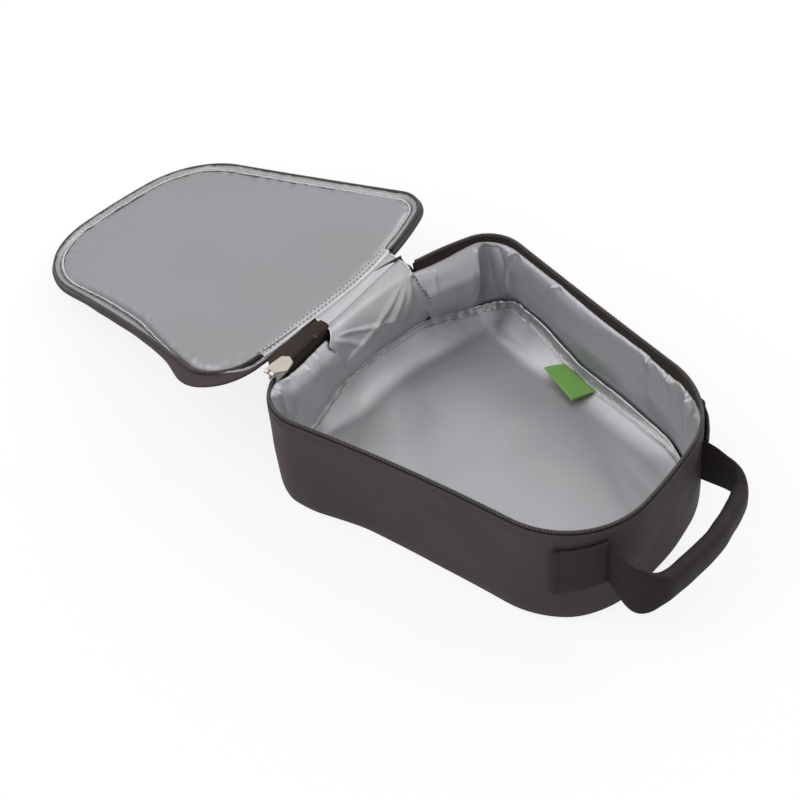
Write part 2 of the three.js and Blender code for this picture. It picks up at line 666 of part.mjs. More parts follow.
// The sewn-down end of the webbing, flat on the narrow corner's wall.
function addAnchor(name, plan) {
  const from = ANCHOR_FROM_DEG * RAD;
  const to = ANCHOR_TO_DEG * RAD;
  const radius = plan.narrowRadius + GAP;
  const inner = arc(plan.narrow, radius, from, to, ANCHOR_STEPS);
  const outer = arc(plan.narrow, radius + WEBBING, from, to, ANCHOR_STEPS);
  const half = [...outer, ...inner.reverse()];
  const outline = plan.side < 0 ? mirrored(half).reverse() : half;
  const low = HANDLE_Z - WEBBING_WIDTH / 2;
  addPiece(bag, name, extrude(outline, [], low, low + WEBBING_WIDTH), webbingFinish);
}

// Place on the wall where the webbing leaves it, a little past the anchor's edge.
function strapRoot(plan) {
  const radius = plan.narrowRadius + GAP + WEBBING / 2;
  const angle = ANCHOR_FROM_DEG * RAD - (GAP + WEBBING / 2) / radius;
  return new THREE.Vector2(
    plan.narrow.x + radius * Math.cos(angle),
    plan.side * (plan.narrow.y + radius * Math.sin(angle)),
  );
}

// Middle line of the handle, from the near anchor to the far one, chosen by hand. The
// webbing stands straight out from both anchors and turns across the narrow end, fuller on
// the near side. Each free point is given in bows back from the grip's middle and half
// spans to the side of it.
function handleRoute() {
  const near = strapRoot(nearPlan);
  const far = strapRoot(farPlan);
  const free = [
    [2.45, -1.19],
    [1.6, -1.22],
    [0.9, -1.18],
    [0.4, -1.05],
    [0.12, -0.82],
    [0, -0.43],
    [0, 0.03],
    [0.3, 0.43],
    [0.73, 0.79],
    [1.3, 1.01],
    [2.0, 1.14],
    [2.9, 1.19],
  ].map(([back, aside]) => new THREE.Vector3(
    BAG_LENGTH + HANDLE_REACH - GRIP_BOW * back,
    GRIP_HALF_SPAN * aside,
    HANDLE_Z,
  ));
  return new THREE.CatmullRomCurve3([
    new THREE.Vector3(near.x, near.y, HANDLE_Z),
    new THREE.Vector3(near.x + LEAD_X, near.y - LEAD_Y, HANDLE_Z),
    ...free,
    new THREE.Vector3(far.x + LEAD_X, far.y + LEAD_Y, HANDLE_Z),
    new THREE.Vector3(far.x, far.y, HANDLE_Z),
  ], false, 'centripetal');
}

// Ring of eight points: flat webbing where fold is 0, the rounded grip where it is 1.
function strapRing(route, at, fold) {
  const centre = route.getPoint(at).setX(route.getPoint(at).x - BAG_MIDDLE);
  const tangent = route.getTangent(at).setZ(0).normalize();
  const out = new THREE.Vector3(tangent.y, -tangent.x, 0);
  const a = THREE.MathUtils.lerp(WEBBING, GRIP_THICKNESS, fold) / 2;
  const b = THREE.MathUtils.lerp(WEBBING_WIDTH, GRIP_WIDTH, fold) / 2;
  const square = THREE.MathUtils.lerp(1, Math.SQRT1_2, fold);
  const section = [
    [-1, -1], [0, -1], [1, -1], [1, 0], [1, 1], [0, 1], [-1, 1], [-1, 0],
  ];
  return section.map(([u, v]) => {
    const scale = u !== 0 && v !== 0 ? square : 1;
    const p = centre.clone().addScaledVector(out, a * u * scale);
    p.z += b * v * scale;
    return p;
  });
}

function strapRun(route, from, to, stations) {
  const rings = [];
  for (let i = 0; i < stations; i += 1) {
    const at = from + (to - from) * i / (stations - 1);
    const inFromEnd = Math.min(at - (GRIP_FROM - ROLL_SHARE), GRIP_TO + ROLL_SHARE - at);
    const fold = THREE.MathUtils.smoothstep(inFromEnd, 0, ROLL_SHARE);
    rings.push(strapRing(route, at, fold));
  }
  return loft(rings);
}

function addHandle() {
  const route = handleRoute();
  const seam = GAP / route.getLength();
  const near = strapRun(route, 0, GRIP_FROM - seam, STRAP_STATIONS);
  const grip = strapRun(route, GRIP_FROM, GRIP_TO, GRIP_STATIONS);
  const far = strapRun(route, GRIP_TO + seam, 1, STRAP_STATIONS);
  addAnchor('near_anchor_patch', nearPlan);
  addAnchor('far_anchor_patch', farPlan);
  addPiece(bag, 'near_handle_webbing', near, webbingFinish);
  addPiece(bag, 'handle_grip', grip, webbingFinish);
  addPiece(bag, 'far_handle_webbing', far, webbingFinish);
}

addTrayShell();
addTrayFoam();
addTrayLining();
addWallSeams();
addLabel();
addZip();
addLid();
addLidHem();
addSoftHinge();
addSlider();
addPullLink();
addPullTab();
addHandle();

export default bag;
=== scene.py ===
import math

import bpy
import numpy as np
from mathutils import Matrix


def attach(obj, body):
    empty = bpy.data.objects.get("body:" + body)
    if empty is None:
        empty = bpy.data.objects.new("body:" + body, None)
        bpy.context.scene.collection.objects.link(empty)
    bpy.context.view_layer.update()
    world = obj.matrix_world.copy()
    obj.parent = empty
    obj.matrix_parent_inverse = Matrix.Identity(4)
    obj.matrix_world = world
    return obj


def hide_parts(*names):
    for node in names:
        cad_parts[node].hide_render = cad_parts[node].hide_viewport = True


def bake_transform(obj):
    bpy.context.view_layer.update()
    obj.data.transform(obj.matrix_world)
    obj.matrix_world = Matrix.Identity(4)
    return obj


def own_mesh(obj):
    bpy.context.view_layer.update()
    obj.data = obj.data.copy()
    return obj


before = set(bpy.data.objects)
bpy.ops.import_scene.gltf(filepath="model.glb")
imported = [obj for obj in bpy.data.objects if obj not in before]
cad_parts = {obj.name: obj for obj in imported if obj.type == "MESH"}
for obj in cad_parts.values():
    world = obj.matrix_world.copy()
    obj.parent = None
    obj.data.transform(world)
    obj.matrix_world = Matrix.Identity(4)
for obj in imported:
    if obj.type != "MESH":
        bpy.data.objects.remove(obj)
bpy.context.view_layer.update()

# Insulated lunch bag that lies on its back with the zipped front panel opened flat.
# Lengths are millimetres. Plan x runs from the wide, hinged end (0) to the narrow end,
# y from the near side to the far side, and z up from the surface the bag lies on.
# An inset is a distance in from the outer face of the wall.

BAG_LENGTH = 255

# half widths at both ends, and radii of the bowed wide end, its corner, the hollow side
# and the narrow corner
NEAR = {
    "half_width": 113, "end_half_width": 85.5, "bow": 650, "wide": 32, "hollow": 1270, "narrow": 64,
}
FAR = {
    "half_width": 110.5, "end_half_width": 88, "bow": 240, "wide": 29, "hollow": 6000, "narrow": 61.5,
}
END_BOW_RADIUS = 400
END_MIDDLE_Y = -35

# the zip's plane, and the hinge: its two ends, and its axis outside the wide end
ZIP_Z = 80
LID_TOP = 89
HINGE_NEAR = 44
HINGE_FAR = 50
HINGE_OFFSET = 4.5
HINGE_Z = 80.15
FLOOR_CLEARANCE = 0.3

# outer cloth's top edge, zip tape, zip teeth and where the slider stands
CLOTH_TOP = 76.8
HINGE_WALL_TOP = 71.5
TAPE_INSET = 1.9
TAPE_FOOT = 64
COIL_MIDDLE = 78.4
COIL_PITCH = 1.45
COIL_WIRE = 0.26
COIL_CORE = 0.82
LID_COIL_Z = 81.75
CLOSED_COIL_DROP = 1.1
SLIDER_S = 94

# films, seams and padding
PLAN_CENTRE = (118.0, -4.0)
FLOOR_CENTRE = (120.0, -6.0)
FLOOR_Z = 5.6
FLOOR_LOWEST_Z = 4.9
FLOOR_SEAM_INSET = 6.0
FLOOR_FLAT_INSET = 18
LID_FILM_Z = 81.0
LID_CLOTH_Z = 88.5
LID_SEAM_INSET = 6.4
BEAD_PITCH = 2.7
PAD_INSET = 12
WALL_PAD_HEIGHTS = (5, 63)

# the rolled grip's ends as shares of the handle, and the webbing's thickness and width
GRIP_FROM = 0.27
GRIP_TO = 0.77
WEBBING = 1.8
WEBBING_WIDTH = 36


# Plan of the bag

def heading(start, end):
    return math.atan2(end[1] - start[1], end[0] - start[0])


def half_arcs(side):
    """Arcs of one half as (x, y, radius, from, to, bulge), drawn on the +Y side."""
    half = NEAR if side < 0 else FAR
    bow = (half["bow"], 0)
    wide_y = half["half_width"] - half["wide"]
    wide = (half["bow"] - math.sqrt((half["bow"] - half["wide"]) ** 2 - wide_y ** 2), wide_y)
    end = (END_X, side * END_MIDDLE_Y)
    narrow_y = half["end_half_width"] - half["narrow"]
    reach = math.sqrt((END_BOW_RADIUS - half["narrow"]) ** 2 - (narrow_y - end[1]) ** 2)
    narrow = (end[0] + reach, narrow_y)
    to_wide = half["hollow"] + half["wide"]
    to_narrow = half["hollow"] + half["narrow"]
    span = (narrow[0] - wide[0], narrow[1] - wide[1])
    length = math.hypot(*span)
    along = (to_wide ** 2 - to_narrow ** 2 + length ** 2) / (2 * length)
    out = math.sqrt(to_wide ** 2 - along ** 2)
    ux, uy = span[0] / length, span[1] / length
    hollow = (wide[0] + along * ux - out * uy, wide[1] + along * uy + out * ux)
    return [
        (*bow, half["bow"], math.pi, heading(bow, wide), 1),
        (*wide, half["wide"], heading(bow, wide), heading(wide, hollow), 1),
        (*hollow, half["hollow"], heading(hollow, wide), heading(hollow, narrow), -1),
        (*narrow, half["narrow"], heading(narrow, hollow), heading(end, narrow), 1),
    ]


NEAR_END_Y = NEAR["narrow"] - NEAR["end_half_width"]
END_X = BAG_LENGTH - NEAR["narrow"] - math.sqrt(
    (END_BOW_RADIUS - NEAR["narrow"]) ** 2 - (NEAR_END_Y - END_MIDDLE_Y) ** 2
)


def rim_table():
    """Places and inward directions round the outer face, by the distance run."""
    near = half_arcs(-1)
    far = half_arcs(1)
    arcs = [(x, -y, r, -a, -b, k) for x, y, r, a, b, k in near]
    arcs.append((END_X, END_MIDDLE_Y, END_BOW_RADIUS, -near[3][4], far[3][4], 1))
    arcs += [(x, y, r, b, a, k) for x, y, r, a, b, k in reversed(far)]
    rows = []
    run = 0
    for x, y, radius, start, stop, bulge in arcs:
        length = radius * abs(stop - start)
        steps = max(2, int(length / 0.8))
        for i in range(steps):
            share = i / steps
            a = start + (stop - start) * share
            c, s = math.cos(a), math.sin(a)
            rows.append((run + length * share, x + radius * c, y + radius * s, -bulge * c, -bulge * s))
        run += length
    return np.array(rows), run


RIM, PERIMETER = rim_table()


def rim(s):
    """Point and inward direction on the outer face at a distance round from the wide end."""
    s = np.asarray(s, float)
    return [np.interp(s, RIM[:, 0], RIM[:, k], period=PERIMETER) for k in (1, 2, 3, 4)]


def round_rim(count):
    """Even distances once round the rim."""
    return np.linspace(0, PERIMETER, count, endpoint=False)


def rim_near(x, y):
    """Distance round to the place on the rim that is nearest to a plan point."""
    return float(RIM[np.argmin(np.hypot(RIM[:, 1] - x, RIM[:, 2] - y)), 0])


def wide_end_x(y):
    """Plan x of the wide end's outer face."""
    radius = NEAR["bow"] if y < 0 else FAR["bow"]
    return radius - math.sqrt(radius ** 2 - y ** 2)


def wall(s, inset, z):
    """Points at an inset and height on the wall, for numbers or arrays that match."""
    x, y, nx, ny = rim(s)
    return np.stack(np.broadcast_arrays(x + nx * inset, y + ny * inset, z), axis=-1)


def shrunk(outline, centre, share, height=0.0):
    """Ring of an outline drawn in towards a plan centre, at a height."""
    ring = outline.copy()
    ring[:, :2] = centre + (outline[:, :2] - centre) * share
    ring[:, 2] = height
    return ring


SEAM_NEAR = rim_near(wide_end_x(-HINGE_NEAR), -HINGE_NEAR)
SEAM_FAR = rim_near(wide_end_x(HINGE_FAR), HINGE_FAR)
ZIP_START, ZIP_STOP = SEAM_NEAR + 0.5, SEAM_FAR - 0.5
COIL_START, COIL_STOP = ZIP_START + 2, ZIP_STOP - 3

tip_reach = math.hypot(BAG_LENGTH + HINGE_OFFSET, LID_TOP - HINGE_Z)
tip_rise = math.atan2(LID_TOP - HINGE_Z, BAG_LENGTH + HINGE_OFFSET)
LID_OPEN = math.pi + math.asin((HINGE_Z - FLOOR_CLEARANCE) / tip_reach) - tip_rise


def opened(points):
    """Points drawn on the closed lid, carried round the hinge to the open lid."""
    dx = points[..., 0] + HINGE_OFFSET
    dz = points[..., 2] - HINGE_Z
    c, s = math.cos(LID_OPEN), math.sin(LID_OPEN)
    return np.stack(
        [dx * c - dz * s - HINGE_OFFSET, points[..., 1], dx * s + dz * c + HINGE_Z], axis=-1
    )


# Smooth shapes and noise

def bump(x, middle, width):
    return np.exp(-(((x - middle) / width) ** 2))


def ease(x, start, stop):
    t = np.clip((x - start) / (stop - start), 0, 1)
    return t * t * (3 - 2 * t)


def distances(path):
    """Distance run at each point of a path."""
    return np.concatenate([[0], np.cumsum(np.linalg.norm(np.diff(path, axis=0), axis=1))])


def along_keys(keys, count):
    """Smooth line through key points, cut into steps of equal length."""
    keys = np.asarray(keys, float)
    padded = np.vstack([2 * keys[0] - keys[1], keys, 2 * keys[-1] - keys[-2]])
    out = []
    for k in range(1, len(padded) - 2):
        p0, p1, p2, p3 = padded[k - 1 : k + 3]
        t = np.linspace(0, 1, 24, endpoint=k == len(padded) - 3)[:, None]
        out.append(
            0.5 * (2 * p1 + (p2 - p0) * t + (2 * p0 - 5 * p1 + 4 * p2 - p3) * t ** 2
                   + (3 * p1 - p0 - 3 * p2 + p3) * t ** 3)
        )
    line = np.vstack(out)
    run = distances(line)
    even = np.linspace(0, run[-1], count)
    return np.stack([np.interp(even, run, line[:, k]) for k in range(line.shape[1])], axis=-1)


def lattice(ix, iy, seed):
    value = np.sin(ix * 12.9898 + iy * 78.233 + seed * 37.719) * 43758.5453
    return value - np.floor(value)


def noise(u, v, seed):
    """Smooth noise from -1 to 1, with features about one unit across."""
    iu, iv = np.floor(u), np.floor(v)
    fu, fv = u - iu, v - iv
    wu = fu * fu * (3 - 2 * fu)
    wv = fv * fv * (3 - 2 * fv)
    low = lattice(iu, iv, seed) * (1 - wu) + lattice(iu + 1, iv, seed) * wu
    high = lattice(iu, iv + 1, seed) * (1 - wu) + lattice(iu + 1, iv + 1, seed) * wu
    return 2 * (low * (1 - wv) + high * wv) - 1


def crinkle(u, v, seed):
    """Sharp-crested folds, as creased film makes."""
    first = 1 - 2 * np.abs(noise(u, v, seed))
    second = 1 - 2 * np.abs(noise(u * 2.1 + 3, v * 2.1, seed + 7))
    return first + 0.45 * second


# Meshes

def to_row(points):
    """Plan millimetres to metres in the part's own frame."""
    out = np.asarray(points, float) / 1000
    out[..., 0] -= BAG_LENGTH / 2000
    return out


def new_object(name, points, faces, cloth):
    """Smooth mesh object, with cloth coordinates in millimetres for its material."""
    mesh = bpy.data.meshes.new(name)
    mesh.from_pydata(to_row(points).reshape(-1, 3).tolist(), [], faces)
    mesh.update()
    mesh.polygons.foreach_set("use_smooth", [True] * len(mesh.polygons))
    attribute = mesh.attributes.new("cloth", "FLOAT_VECTOR", "POINT")
    attribute.data.foreach_set("vector", np.asarray(cloth, np.float32).ravel())
    made = bpy.data.objects.new(name, mesh)
    bpy.context.scene.collection.objects.link(made)
    return made


def quads(rows, cols, wrap_rows=False, wrap_cols=False):
    r = np.arange(rows if wrap_rows else rows - 1)
    c = np.arange(cols if wrap_cols else cols - 1)
    r, c = np.meshgrid(r, c, indexing="ij")
    r2, c2 = (r + 1) % rows, (c + 1) % cols
    faces = np.stack([r * cols + c, r * cols + c2, r2 * cols + c2, r2 * cols + c], axis=-1)
    return faces.reshape(-1, 4)


def end_faces(rows, cols, first=0):
    """Faces that close both ends of a tube of rings, whose points start at a number."""
    ring = [first + k for k in range(cols)]
    return [ring[::-1], [(rows - 1) * cols + k for k in ring]]


def grid(name, points, wrap_cols=False, flip=False):
    """Sheet over a grid of points, with its own flat cloth coordinates."""
    rows, cols = points.shape[:2]
    faces = quads(rows, cols, wrap_cols=wrap_cols)
    if flip:
        faces = faces[:, ::-1]
    across = np.zeros((rows, cols))
    down = np.zeros((rows, cols))
    across[:, 1:] = np.cumsum(np.linalg.norm(np.diff(points, axis=1), axis=2), axis=1)
    down[1:] = np.cumsum(np.linalg.norm(np.diff(points, axis=0), axis=2), axis=0)
    across = np.broadcast_to(across[rows // 2], (rows, cols))
    cloth = np.stack([across, down, np.zeros((rows, cols))], axis=-1)
    return new_object(name, points, faces.tolist(), cloth)


def thicken(piece, thickness, offset=-1):
    """Give a sheet thickness: inwards, or to both sides with an offset of 0."""
    solid = piece.modifiers.new("thickness", "SOLIDIFY")
    solid.thickness = thickness / 1000
    solid.offset = offset
    return piece


def frames(path, up):
    """Side and normal along a path."""
    tangent = np.gradient(path, axis=0)
    tangent /= np.linalg.norm(tangent, axis=1)[:, None]
    up = np.broadcast_to(np.asarray(up, float), path.shape)
    side = np.cross(up, tangent)
    side /= np.linalg.norm(side, axis=1)[:, None]
    return side, np.cross(tangent, side)


def sweep(name, path, sections, up=(0, 0, 1), closed=False):
    """Solid round a path: sections hold (side, normal) points, one row for each place."""
    side, normal = frames(path, up)
    points = path[:, None] + side[:, None] * sections[..., :1] + normal[:, None] * sections[..., 1:]
    rows, cols = points.shape[:2]
    faces = quads(rows, cols, wrap_rows=closed, wrap_cols=True).tolist()
    if not closed:
        faces += end_faces(rows, cols)
    run = distances(path)[:, None]
    turn = distances(sections[rows // 2])[None, :]
    return new_object(name, points, faces, np.stack(np.broadcast_arrays(run, turn, 0.0), axis=-1))


def round_section(radius, sides, flat=1.0):
    a = np.linspace(0, 2 * math.pi, sides, endpoint=False)
    return np.stack([radius * np.cos(a), radius * flat * np.sin(a)], axis=-1)


def tube(name, path, radius, sides, up=(0, 0, 1), closed=False, flat=1.0):
    """Round solid along a path, of one radius or of one for each place."""
    section = round_section(1, sides, flat)
    radius = np.broadcast_to(np.asarray(radius, float), (len(path),))
    return sweep(name, path, radius[:, None, None] * section[None], up, closed)


def joined(name, parts):
    """One object from several, which all have the same kind of attributes."""
    bpy.ops.object.select_all(action="DESELECT")
    for part in parts:
        part.select_set(True)
    bpy.context.view_layer.objects.active = parts[0]
    bpy.ops.object.join()
    parts[0].name = name
    parts[0].data.name = name
    return parts[0]


# rise and thickness along one stitch, as shares of its radius: both ends dip into the cloth
STITCH_RISE = np.array([-0.6, 0.1, 0.35, 0.1, -0.6])
STITCH_SIZE = np.array([0.35, 0.9, 1, 0.9, 0.35])
STITCH_SIDES = 6


def stitches(name, path, up, length, gap, radius):
    """Row of sewing stitches laid on a path."""
    run = distances(path)
    up = np.broadcast_to(np.asarray(up, float), path.shape)
    section = round_section(1, STITCH_SIDES)
    rings = len(STITCH_SIZE)
    points = []
    faces = []
    for k in range(int(run[-1] // (length + gap))):
        at = np.linspace(k * (length + gap), k * (length + gap) + length, rings)
        line = np.stack([np.interp(at, run, path[:, i]) for i in range(3)], axis=-1)
        lift = np.stack([np.interp(at, run, up[:, i]) for i in range(3)], axis=-1)
        line = line + lift * (STITCH_RISE * radius)[:, None]
        side, normal = frames(line, lift)
        base = len(points) * STITCH_SIDES
        for j, size in enumerate(STITCH_SIZE * radius):
            points.append(line[j] + size * (section[:, :1] * side[j] + section[:, 1:] * normal[j]))
        faces += (quads(rings, STITCH_SIDES, wrap_cols=True) + base).tolist()
        faces += end_faces(rings, STITCH_SIDES, base)
    points = np.concatenate(points)
    return new_object(name, points, faces, points)


# Materials

class Graph:
    """Small helper that adds and links the shader nodes of a material or the world."""

    def __init__(self, owner):
        self.owner = owner
        owner.use_nodes = True
        self.tree = owner.node_tree
        self.tree.nodes.clear()

    def add(self, kind, inputs=None, **settings):
        node = self.tree.nodes.new(kind)
        for key, value in settings.items():
            setattr(node, key, value)
        for key, value in (inputs or {}).items():
            if isinstance(value, bpy.types.NodeSocket):
                self.tree.links.new(value, node.inputs[key])
            else:
                node.inputs[key].default_value = value
        return node

    def math(self, operation, a, b):
        return self.add("ShaderNodeMath", {0: a, 1: b}, operation=operation).outputs[0]

    def cloth(self):
        return self.add("ShaderNodeAttribute", attribute_name="cloth").outputs["Vector"]

    def noise(self, scale, detail=3.0, rough=0.5, warp=0.0):
        place = self.add("ShaderNodeTexCoord").outputs["Object"]
        return self.add("ShaderNodeTexNoise", {
            "Vector": place, "Scale": scale, "Detail": detail, "Roughness": rough,
            "Distortion": warp,
        }).outputs["Fac"]

    def bands(self, vector, pitch, direction, warp):
        return self.add("ShaderNodeTexWave", {
            "Vector": vector, "Scale": 2 * math.pi / (20 * pitch), "Distortion": warp,
            "Detail": 1.0, "Detail Scale": 1.0,
        }, wave_type="BANDS", bands_direction=direction).outputs["Fac"]

    def spread(self, value, low, high):
        return self.add("ShaderNodeMapRange", {
            "Value": value, "To Min": low, "To Max": high,
        }).outputs["Result"]

    def colours(self, value, first, second):
        ramp = self.add("ShaderNodeValToRGB", {"Fac": value})
        ramp.color_ramp.elements[0].color = (*first, 1)
        ramp.color_ramp.elements[1].color = (*second, 1)
        return ramp.outputs["Color"]

    def raised(self, height, distance, strength, under=None):
        """Bump of a distance in millimetres, on top of another one if that is given."""
        inputs = {"Height": height, "Distance": distance / 1000, "Strength": strength}
        if under is not None:
            inputs["Normal"] = under
        return self.add("ShaderNodeBump", inputs).outputs["Normal"]

    def finish(self, colour, roughness, normal, metallic=0.0, sheen=0.0, sheen_rough=0.5, specular=0.5):
        return self.output("ShaderNodeOutputMaterial", self.add("ShaderNodeBsdfPrincipled", {
            "Base Color": colour, "Roughness": roughness, "Normal": normal, "Metallic": metallic,
            "Sheen Weight": sheen, "Sheen Roughness": sheen_rough, "Specular IOR Level": specular,
        }))

    def output(self, kind, shader):
        out = self.add(kind)
        self.tree.links.new(shader.outputs[0], out.inputs["Surface"])
        return self.owner


def material(name):
    return Graph(bpy.data.materials.new(name))


def woven(graph, pitch_across, pitch_down):
    """Over-and-under height of a plain weave."""
    vector = graph.cloth()
    warp = graph.bands(vector, pitch_across, "X", 0.25)
    weft = graph.bands(vector, pitch_down, "Y", 0.25)
    return graph.math("MULTIPLY", warp, weft)


def cloth_material():
    """Charcoal-brown polyester with a faint satin sheen."""
    g = material("outer_cloth")
    weave = woven(g, 0.62, 0.55)
    cloud = g.noise(22.0, 3.0, 0.55)
    grain = g.noise(900.0, 2.0, 0.6)
    tone = g.math("ADD", g.math("MULTIPLY", cloud, 0.75), g.math("MULTIPLY", grain, 0.25))
    colour = g.colours(tone, (0.050, 0.036, 0.040), (0.084, 0.063, 0.069))
    soft = g.raised(g.noise(60.0, 2.0), 0.5, 0.35)
    normal = g.raised(weave, 0.06, 0.5, soft)
    return g.finish(colour, g.spread(weave, 0.52, 0.66), normal, 0, 0.05, 0.45, 0.2)


def tape_material():
    """Dark woven zip tape with a fine herringbone rib."""
    g = material("zip_tape")
    vector = g.cloth()
    height = g.math("MULTIPLY", g.bands(vector, 0.9, "DIAGONAL", 0.2), g.bands(vector, 0.45, "X", 0.2))
    colour = g.colours(g.noise(400.0, 2.0), (0.027, 0.018, 0.014), (0.058, 0.042, 0.033))
    normal = g.raised(height, 0.08, 0.6)
    return g.finish(colour, g.spread(height, 0.7, 0.85), normal, sheen=0.02, specular=0.15)


def coil_material():
    """Grey nylon filament of the zip teeth."""
    g = material("zip_coil")
    streak = g.noise(700.0, 2.0)
    colour = g.colours(streak, (0.12, 0.12, 0.12), (0.23, 0.23, 0.225))
    return g.finish(colour, g.spread(streak, 0.3, 0.42), g.raised(streak, 0.03, 0.3))


def foil_material(name, first, second, rough, stitched=False):
    """Silver film laminated on a fine woven backing, crumpled where it is stitched."""
    g = material(name)
    weave = woven(g, 0.8, 0.8)
    crease = g.noise(120.0, 4.0, 0.6, 0.6)
    colour = g.colours(g.noise(8.0, 2.0), first, second)
    fine = g.raised(g.noise(26.0, 2.0), 1.1, 0.30)
    if stitched:
        fine = g.raised(crease, 0.35, 0.55, fine)
        fine = g.raised(g.noise(420.0, 3.0, 0.6, 0.8), 0.5, 0.8, fine)
    else:
        fine = g.raised(crease, 0.16, 0.3, fine)
    normal = g.raised(weave, 0.035, 0.35, fine)
    return g.finish(colour, g.spread(crease, rough - 0.05, rough + 0.07), normal, metallic=0.65)


def foam_material():
    """Pale closed-cell foam."""
    g = material("foam")
    cells = g.noise(650.0, 2.0, 0.6)
    colour = g.colours(cells, (0.60, 0.60, 0.57), (0.78, 0.78, 0.75))
    return g.finish(colour, 0.9, g.raised(cells, 0.25, 0.5))


def webbing_material():
    """Ribbed polyester webbing."""
    g = material("webbing")
    vector = g.cloth()
    ribs = g.math("MULTIPLY", g.bands(vector, 1.55, "X", 0.15), 0.75)
    yarn = g.math("MULTIPLY", g.bands(vector, 0.75, "Y", 0.3), 0.25)
    height = g.math("ADD", ribs, yarn)
    colour = g.colours(g.noise(500.0, 2.0), (0.016, 0.011, 0.011), (0.032, 0.023, 0.024))
    normal = g.raised(height, 0.30, 0.75)
    return g.finish(colour, g.spread(height, 0.62, 0.78), normal, 0, 0.03, 0.4, 0.18)


def patch_material():
    """The webbing's sewn-down end, pressed nearly smooth."""
    g = material("webbing_patch")
    fibre = g.noise(300.0, 3.0)
    colour = g.colours(fibre, (0.026, 0.018, 0.017), (0.048, 0.034, 0.035))
    normal = g.raised(fibre, 0.25, 0.4, g.raised(g.noise(110.0), 0.5, 0.3))
    return g.finish(colour, g.spread(fibre, 0.6, 0.75), normal, sheen=0.03, specular=0.18)


def grip_material():
    """The webbing where it is rolled: its ribs are pressed nearly smooth."""
    g = material("webbing_rolled")
    ribs = g.bands(g.cloth(), 1.55, "X", 0.2)
    fibre = g.noise(260.0, 3.0)
    colour = g.colours(fibre, (0.019, 0.014, 0.015), (0.036, 0.027, 0.029))
    normal = g.raised(ribs, 0.07, 0.6, g.raised(g.noise(90.0), 0.6, 0.3))
    return g.finish(colour, g.spread(fibre, 0.55, 0.7), normal, 0, 0.03, 0.4, 0.18)


def label_material():
    """Green woven label."""
    g = material("label")
    weave = woven(g, 0.42, 0.36)
    colour = g.colours(weave, (0.17, 0.40, 0.075), (0.29, 0.58, 0.14))
    return g.finish(colour, 0.72, g.raised(weave, 0.06, 0.6), sheen=0.2)


def metal_material(name, first, second):
    """Brushed die casting."""
    g = material(name)
    scratch = g.noise(1500.0, 2.0, 0.7, 0.4)
    colour = g.colours(g.noise(200.0), first, second)
    return g.finish(colour, g.spread(scratch, 0.3, 0.45), g.raised(scratch, 0.02, 0.3), metallic=0.95)


def thread_material(name, colour):
    """Twisted sewing thread."""
    g = material(name)
    twist = g.noise(1200.0, 2.0)
    low = tuple(0.75 * c for c in colour)
    return g.finish(g.colours(twist, low, colour), 0.6, g.raised(twist, 0.05, 0.4))


CLOTH = cloth_material()
TAPE = tape_material()
COIL = coil_material()
FOIL = foil_material("silver_lining", (0.415, 0.415, 0.410), (0.450, 0.440, 0.490), 0.46)
# painted shade: the lid's film is the same film as the lining, coloured darker to give the open lid its
# shade
SHADED_LID_FOIL = foil_material("lid_silver_lining_painted_shade", (0.315, 0.315, 0.310), (0.365, 0.357, 0.400), 0.46)
# painted highlight: the rolled edges, beads and hems are the same film as the lining, coloured lighter
# for the light they catch
LIT_BINDING = foil_material("silver_binding_painted_highlight", (0.46, 0.46, 0.47), (0.58, 0.58, 0.60), 0.32, True)
# painted shade: the band between the rolls is the same film, coloured darker for the shade in its
# crinkled groove
SHADED_BAND_FOIL = foil_material("seam_band_painted_shade", (0.26, 0.26, 0.26), (0.42, 0.42, 0.43), 0.34, True)
FOAM = foam_material()
WEB = webbing_material()
ROLLED = grip_material()
PATCH_WEB = patch_material()
LABEL = label_material()
METAL = metal_material("zip_metal", (0.47, 0.43, 0.37), (0.62, 0.58, 0.51))
DARK_METAL = metal_material("dark_zip_metal", (0.05, 0.048, 0.045), (0.10, 0.095, 0.09))
DARK_THREAD = thread_material("dark_thread", (0.060, 0.036, 0.034))
# grey thread for the hinge seams' stitches, also the colour of the dark tube that paints the shade of
# the fold beside each seam
GREY_THREAD_AND_SHADE = thread_material("grey_thread_and_fold_shade", (0.045, 0.045, 0.045))
HEM_THREAD = thread_material("hem_thread", (0.17, 0.17, 0.17))


def dress(piece, finish, body="tray", replaces=()):
    """Give a piece its material, hide the parts it replaces, and hang it on the body it rides when one
    is given.
    """
    piece.data.materials.clear()
    piece.data.materials.append(finish)
    if replaces:
        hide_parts(*replaces)
    if body:
        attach(piece, body)


# Amounts that change round the bag, by the distance round from the middle of the wide end

def round_table(keys, blur):
    """Smoothed periodic table through (distance, amount) keys."""
    keys = np.array(sorted(keys), float)
    at = np.arange(0, PERIMETER, 1.0)
    raw = np.interp(at, keys[:, 0], keys[:, 1], period=PERIMETER)
    reach = int(4 * blur)
    kernel = np.exp(-((np.arange(-reach, reach + 1) / blur) ** 2))
    kernel /= kernel.sum()
    smooth = np.convolve(np.concatenate([raw[-reach:], raw, raw[:reach]]), kernel, "valid")
    return at, smooth


def look_up(s, table):
    return np.interp(s, table[0], table[1], period=PERIMETER)


# how far the wall's foot stands in from the rim (out where negative)
FOOT = round_table([
    (0, 0), (44, 1), (75, 4), (98, 6.5), (117, 5), (134, 0), (152, -2.6), (169, -0.6), (188, 1.2),
    (211, 0), (247, -1.9), (293, -3.3), (320, -4.6), (340, -5.6), (360, -4), (385, -2.5),
    (425, -4.5), (460, -3), (520, -1.5), (600, -2), (660, -3), (708, -2), (757, -0.5),
], 7)

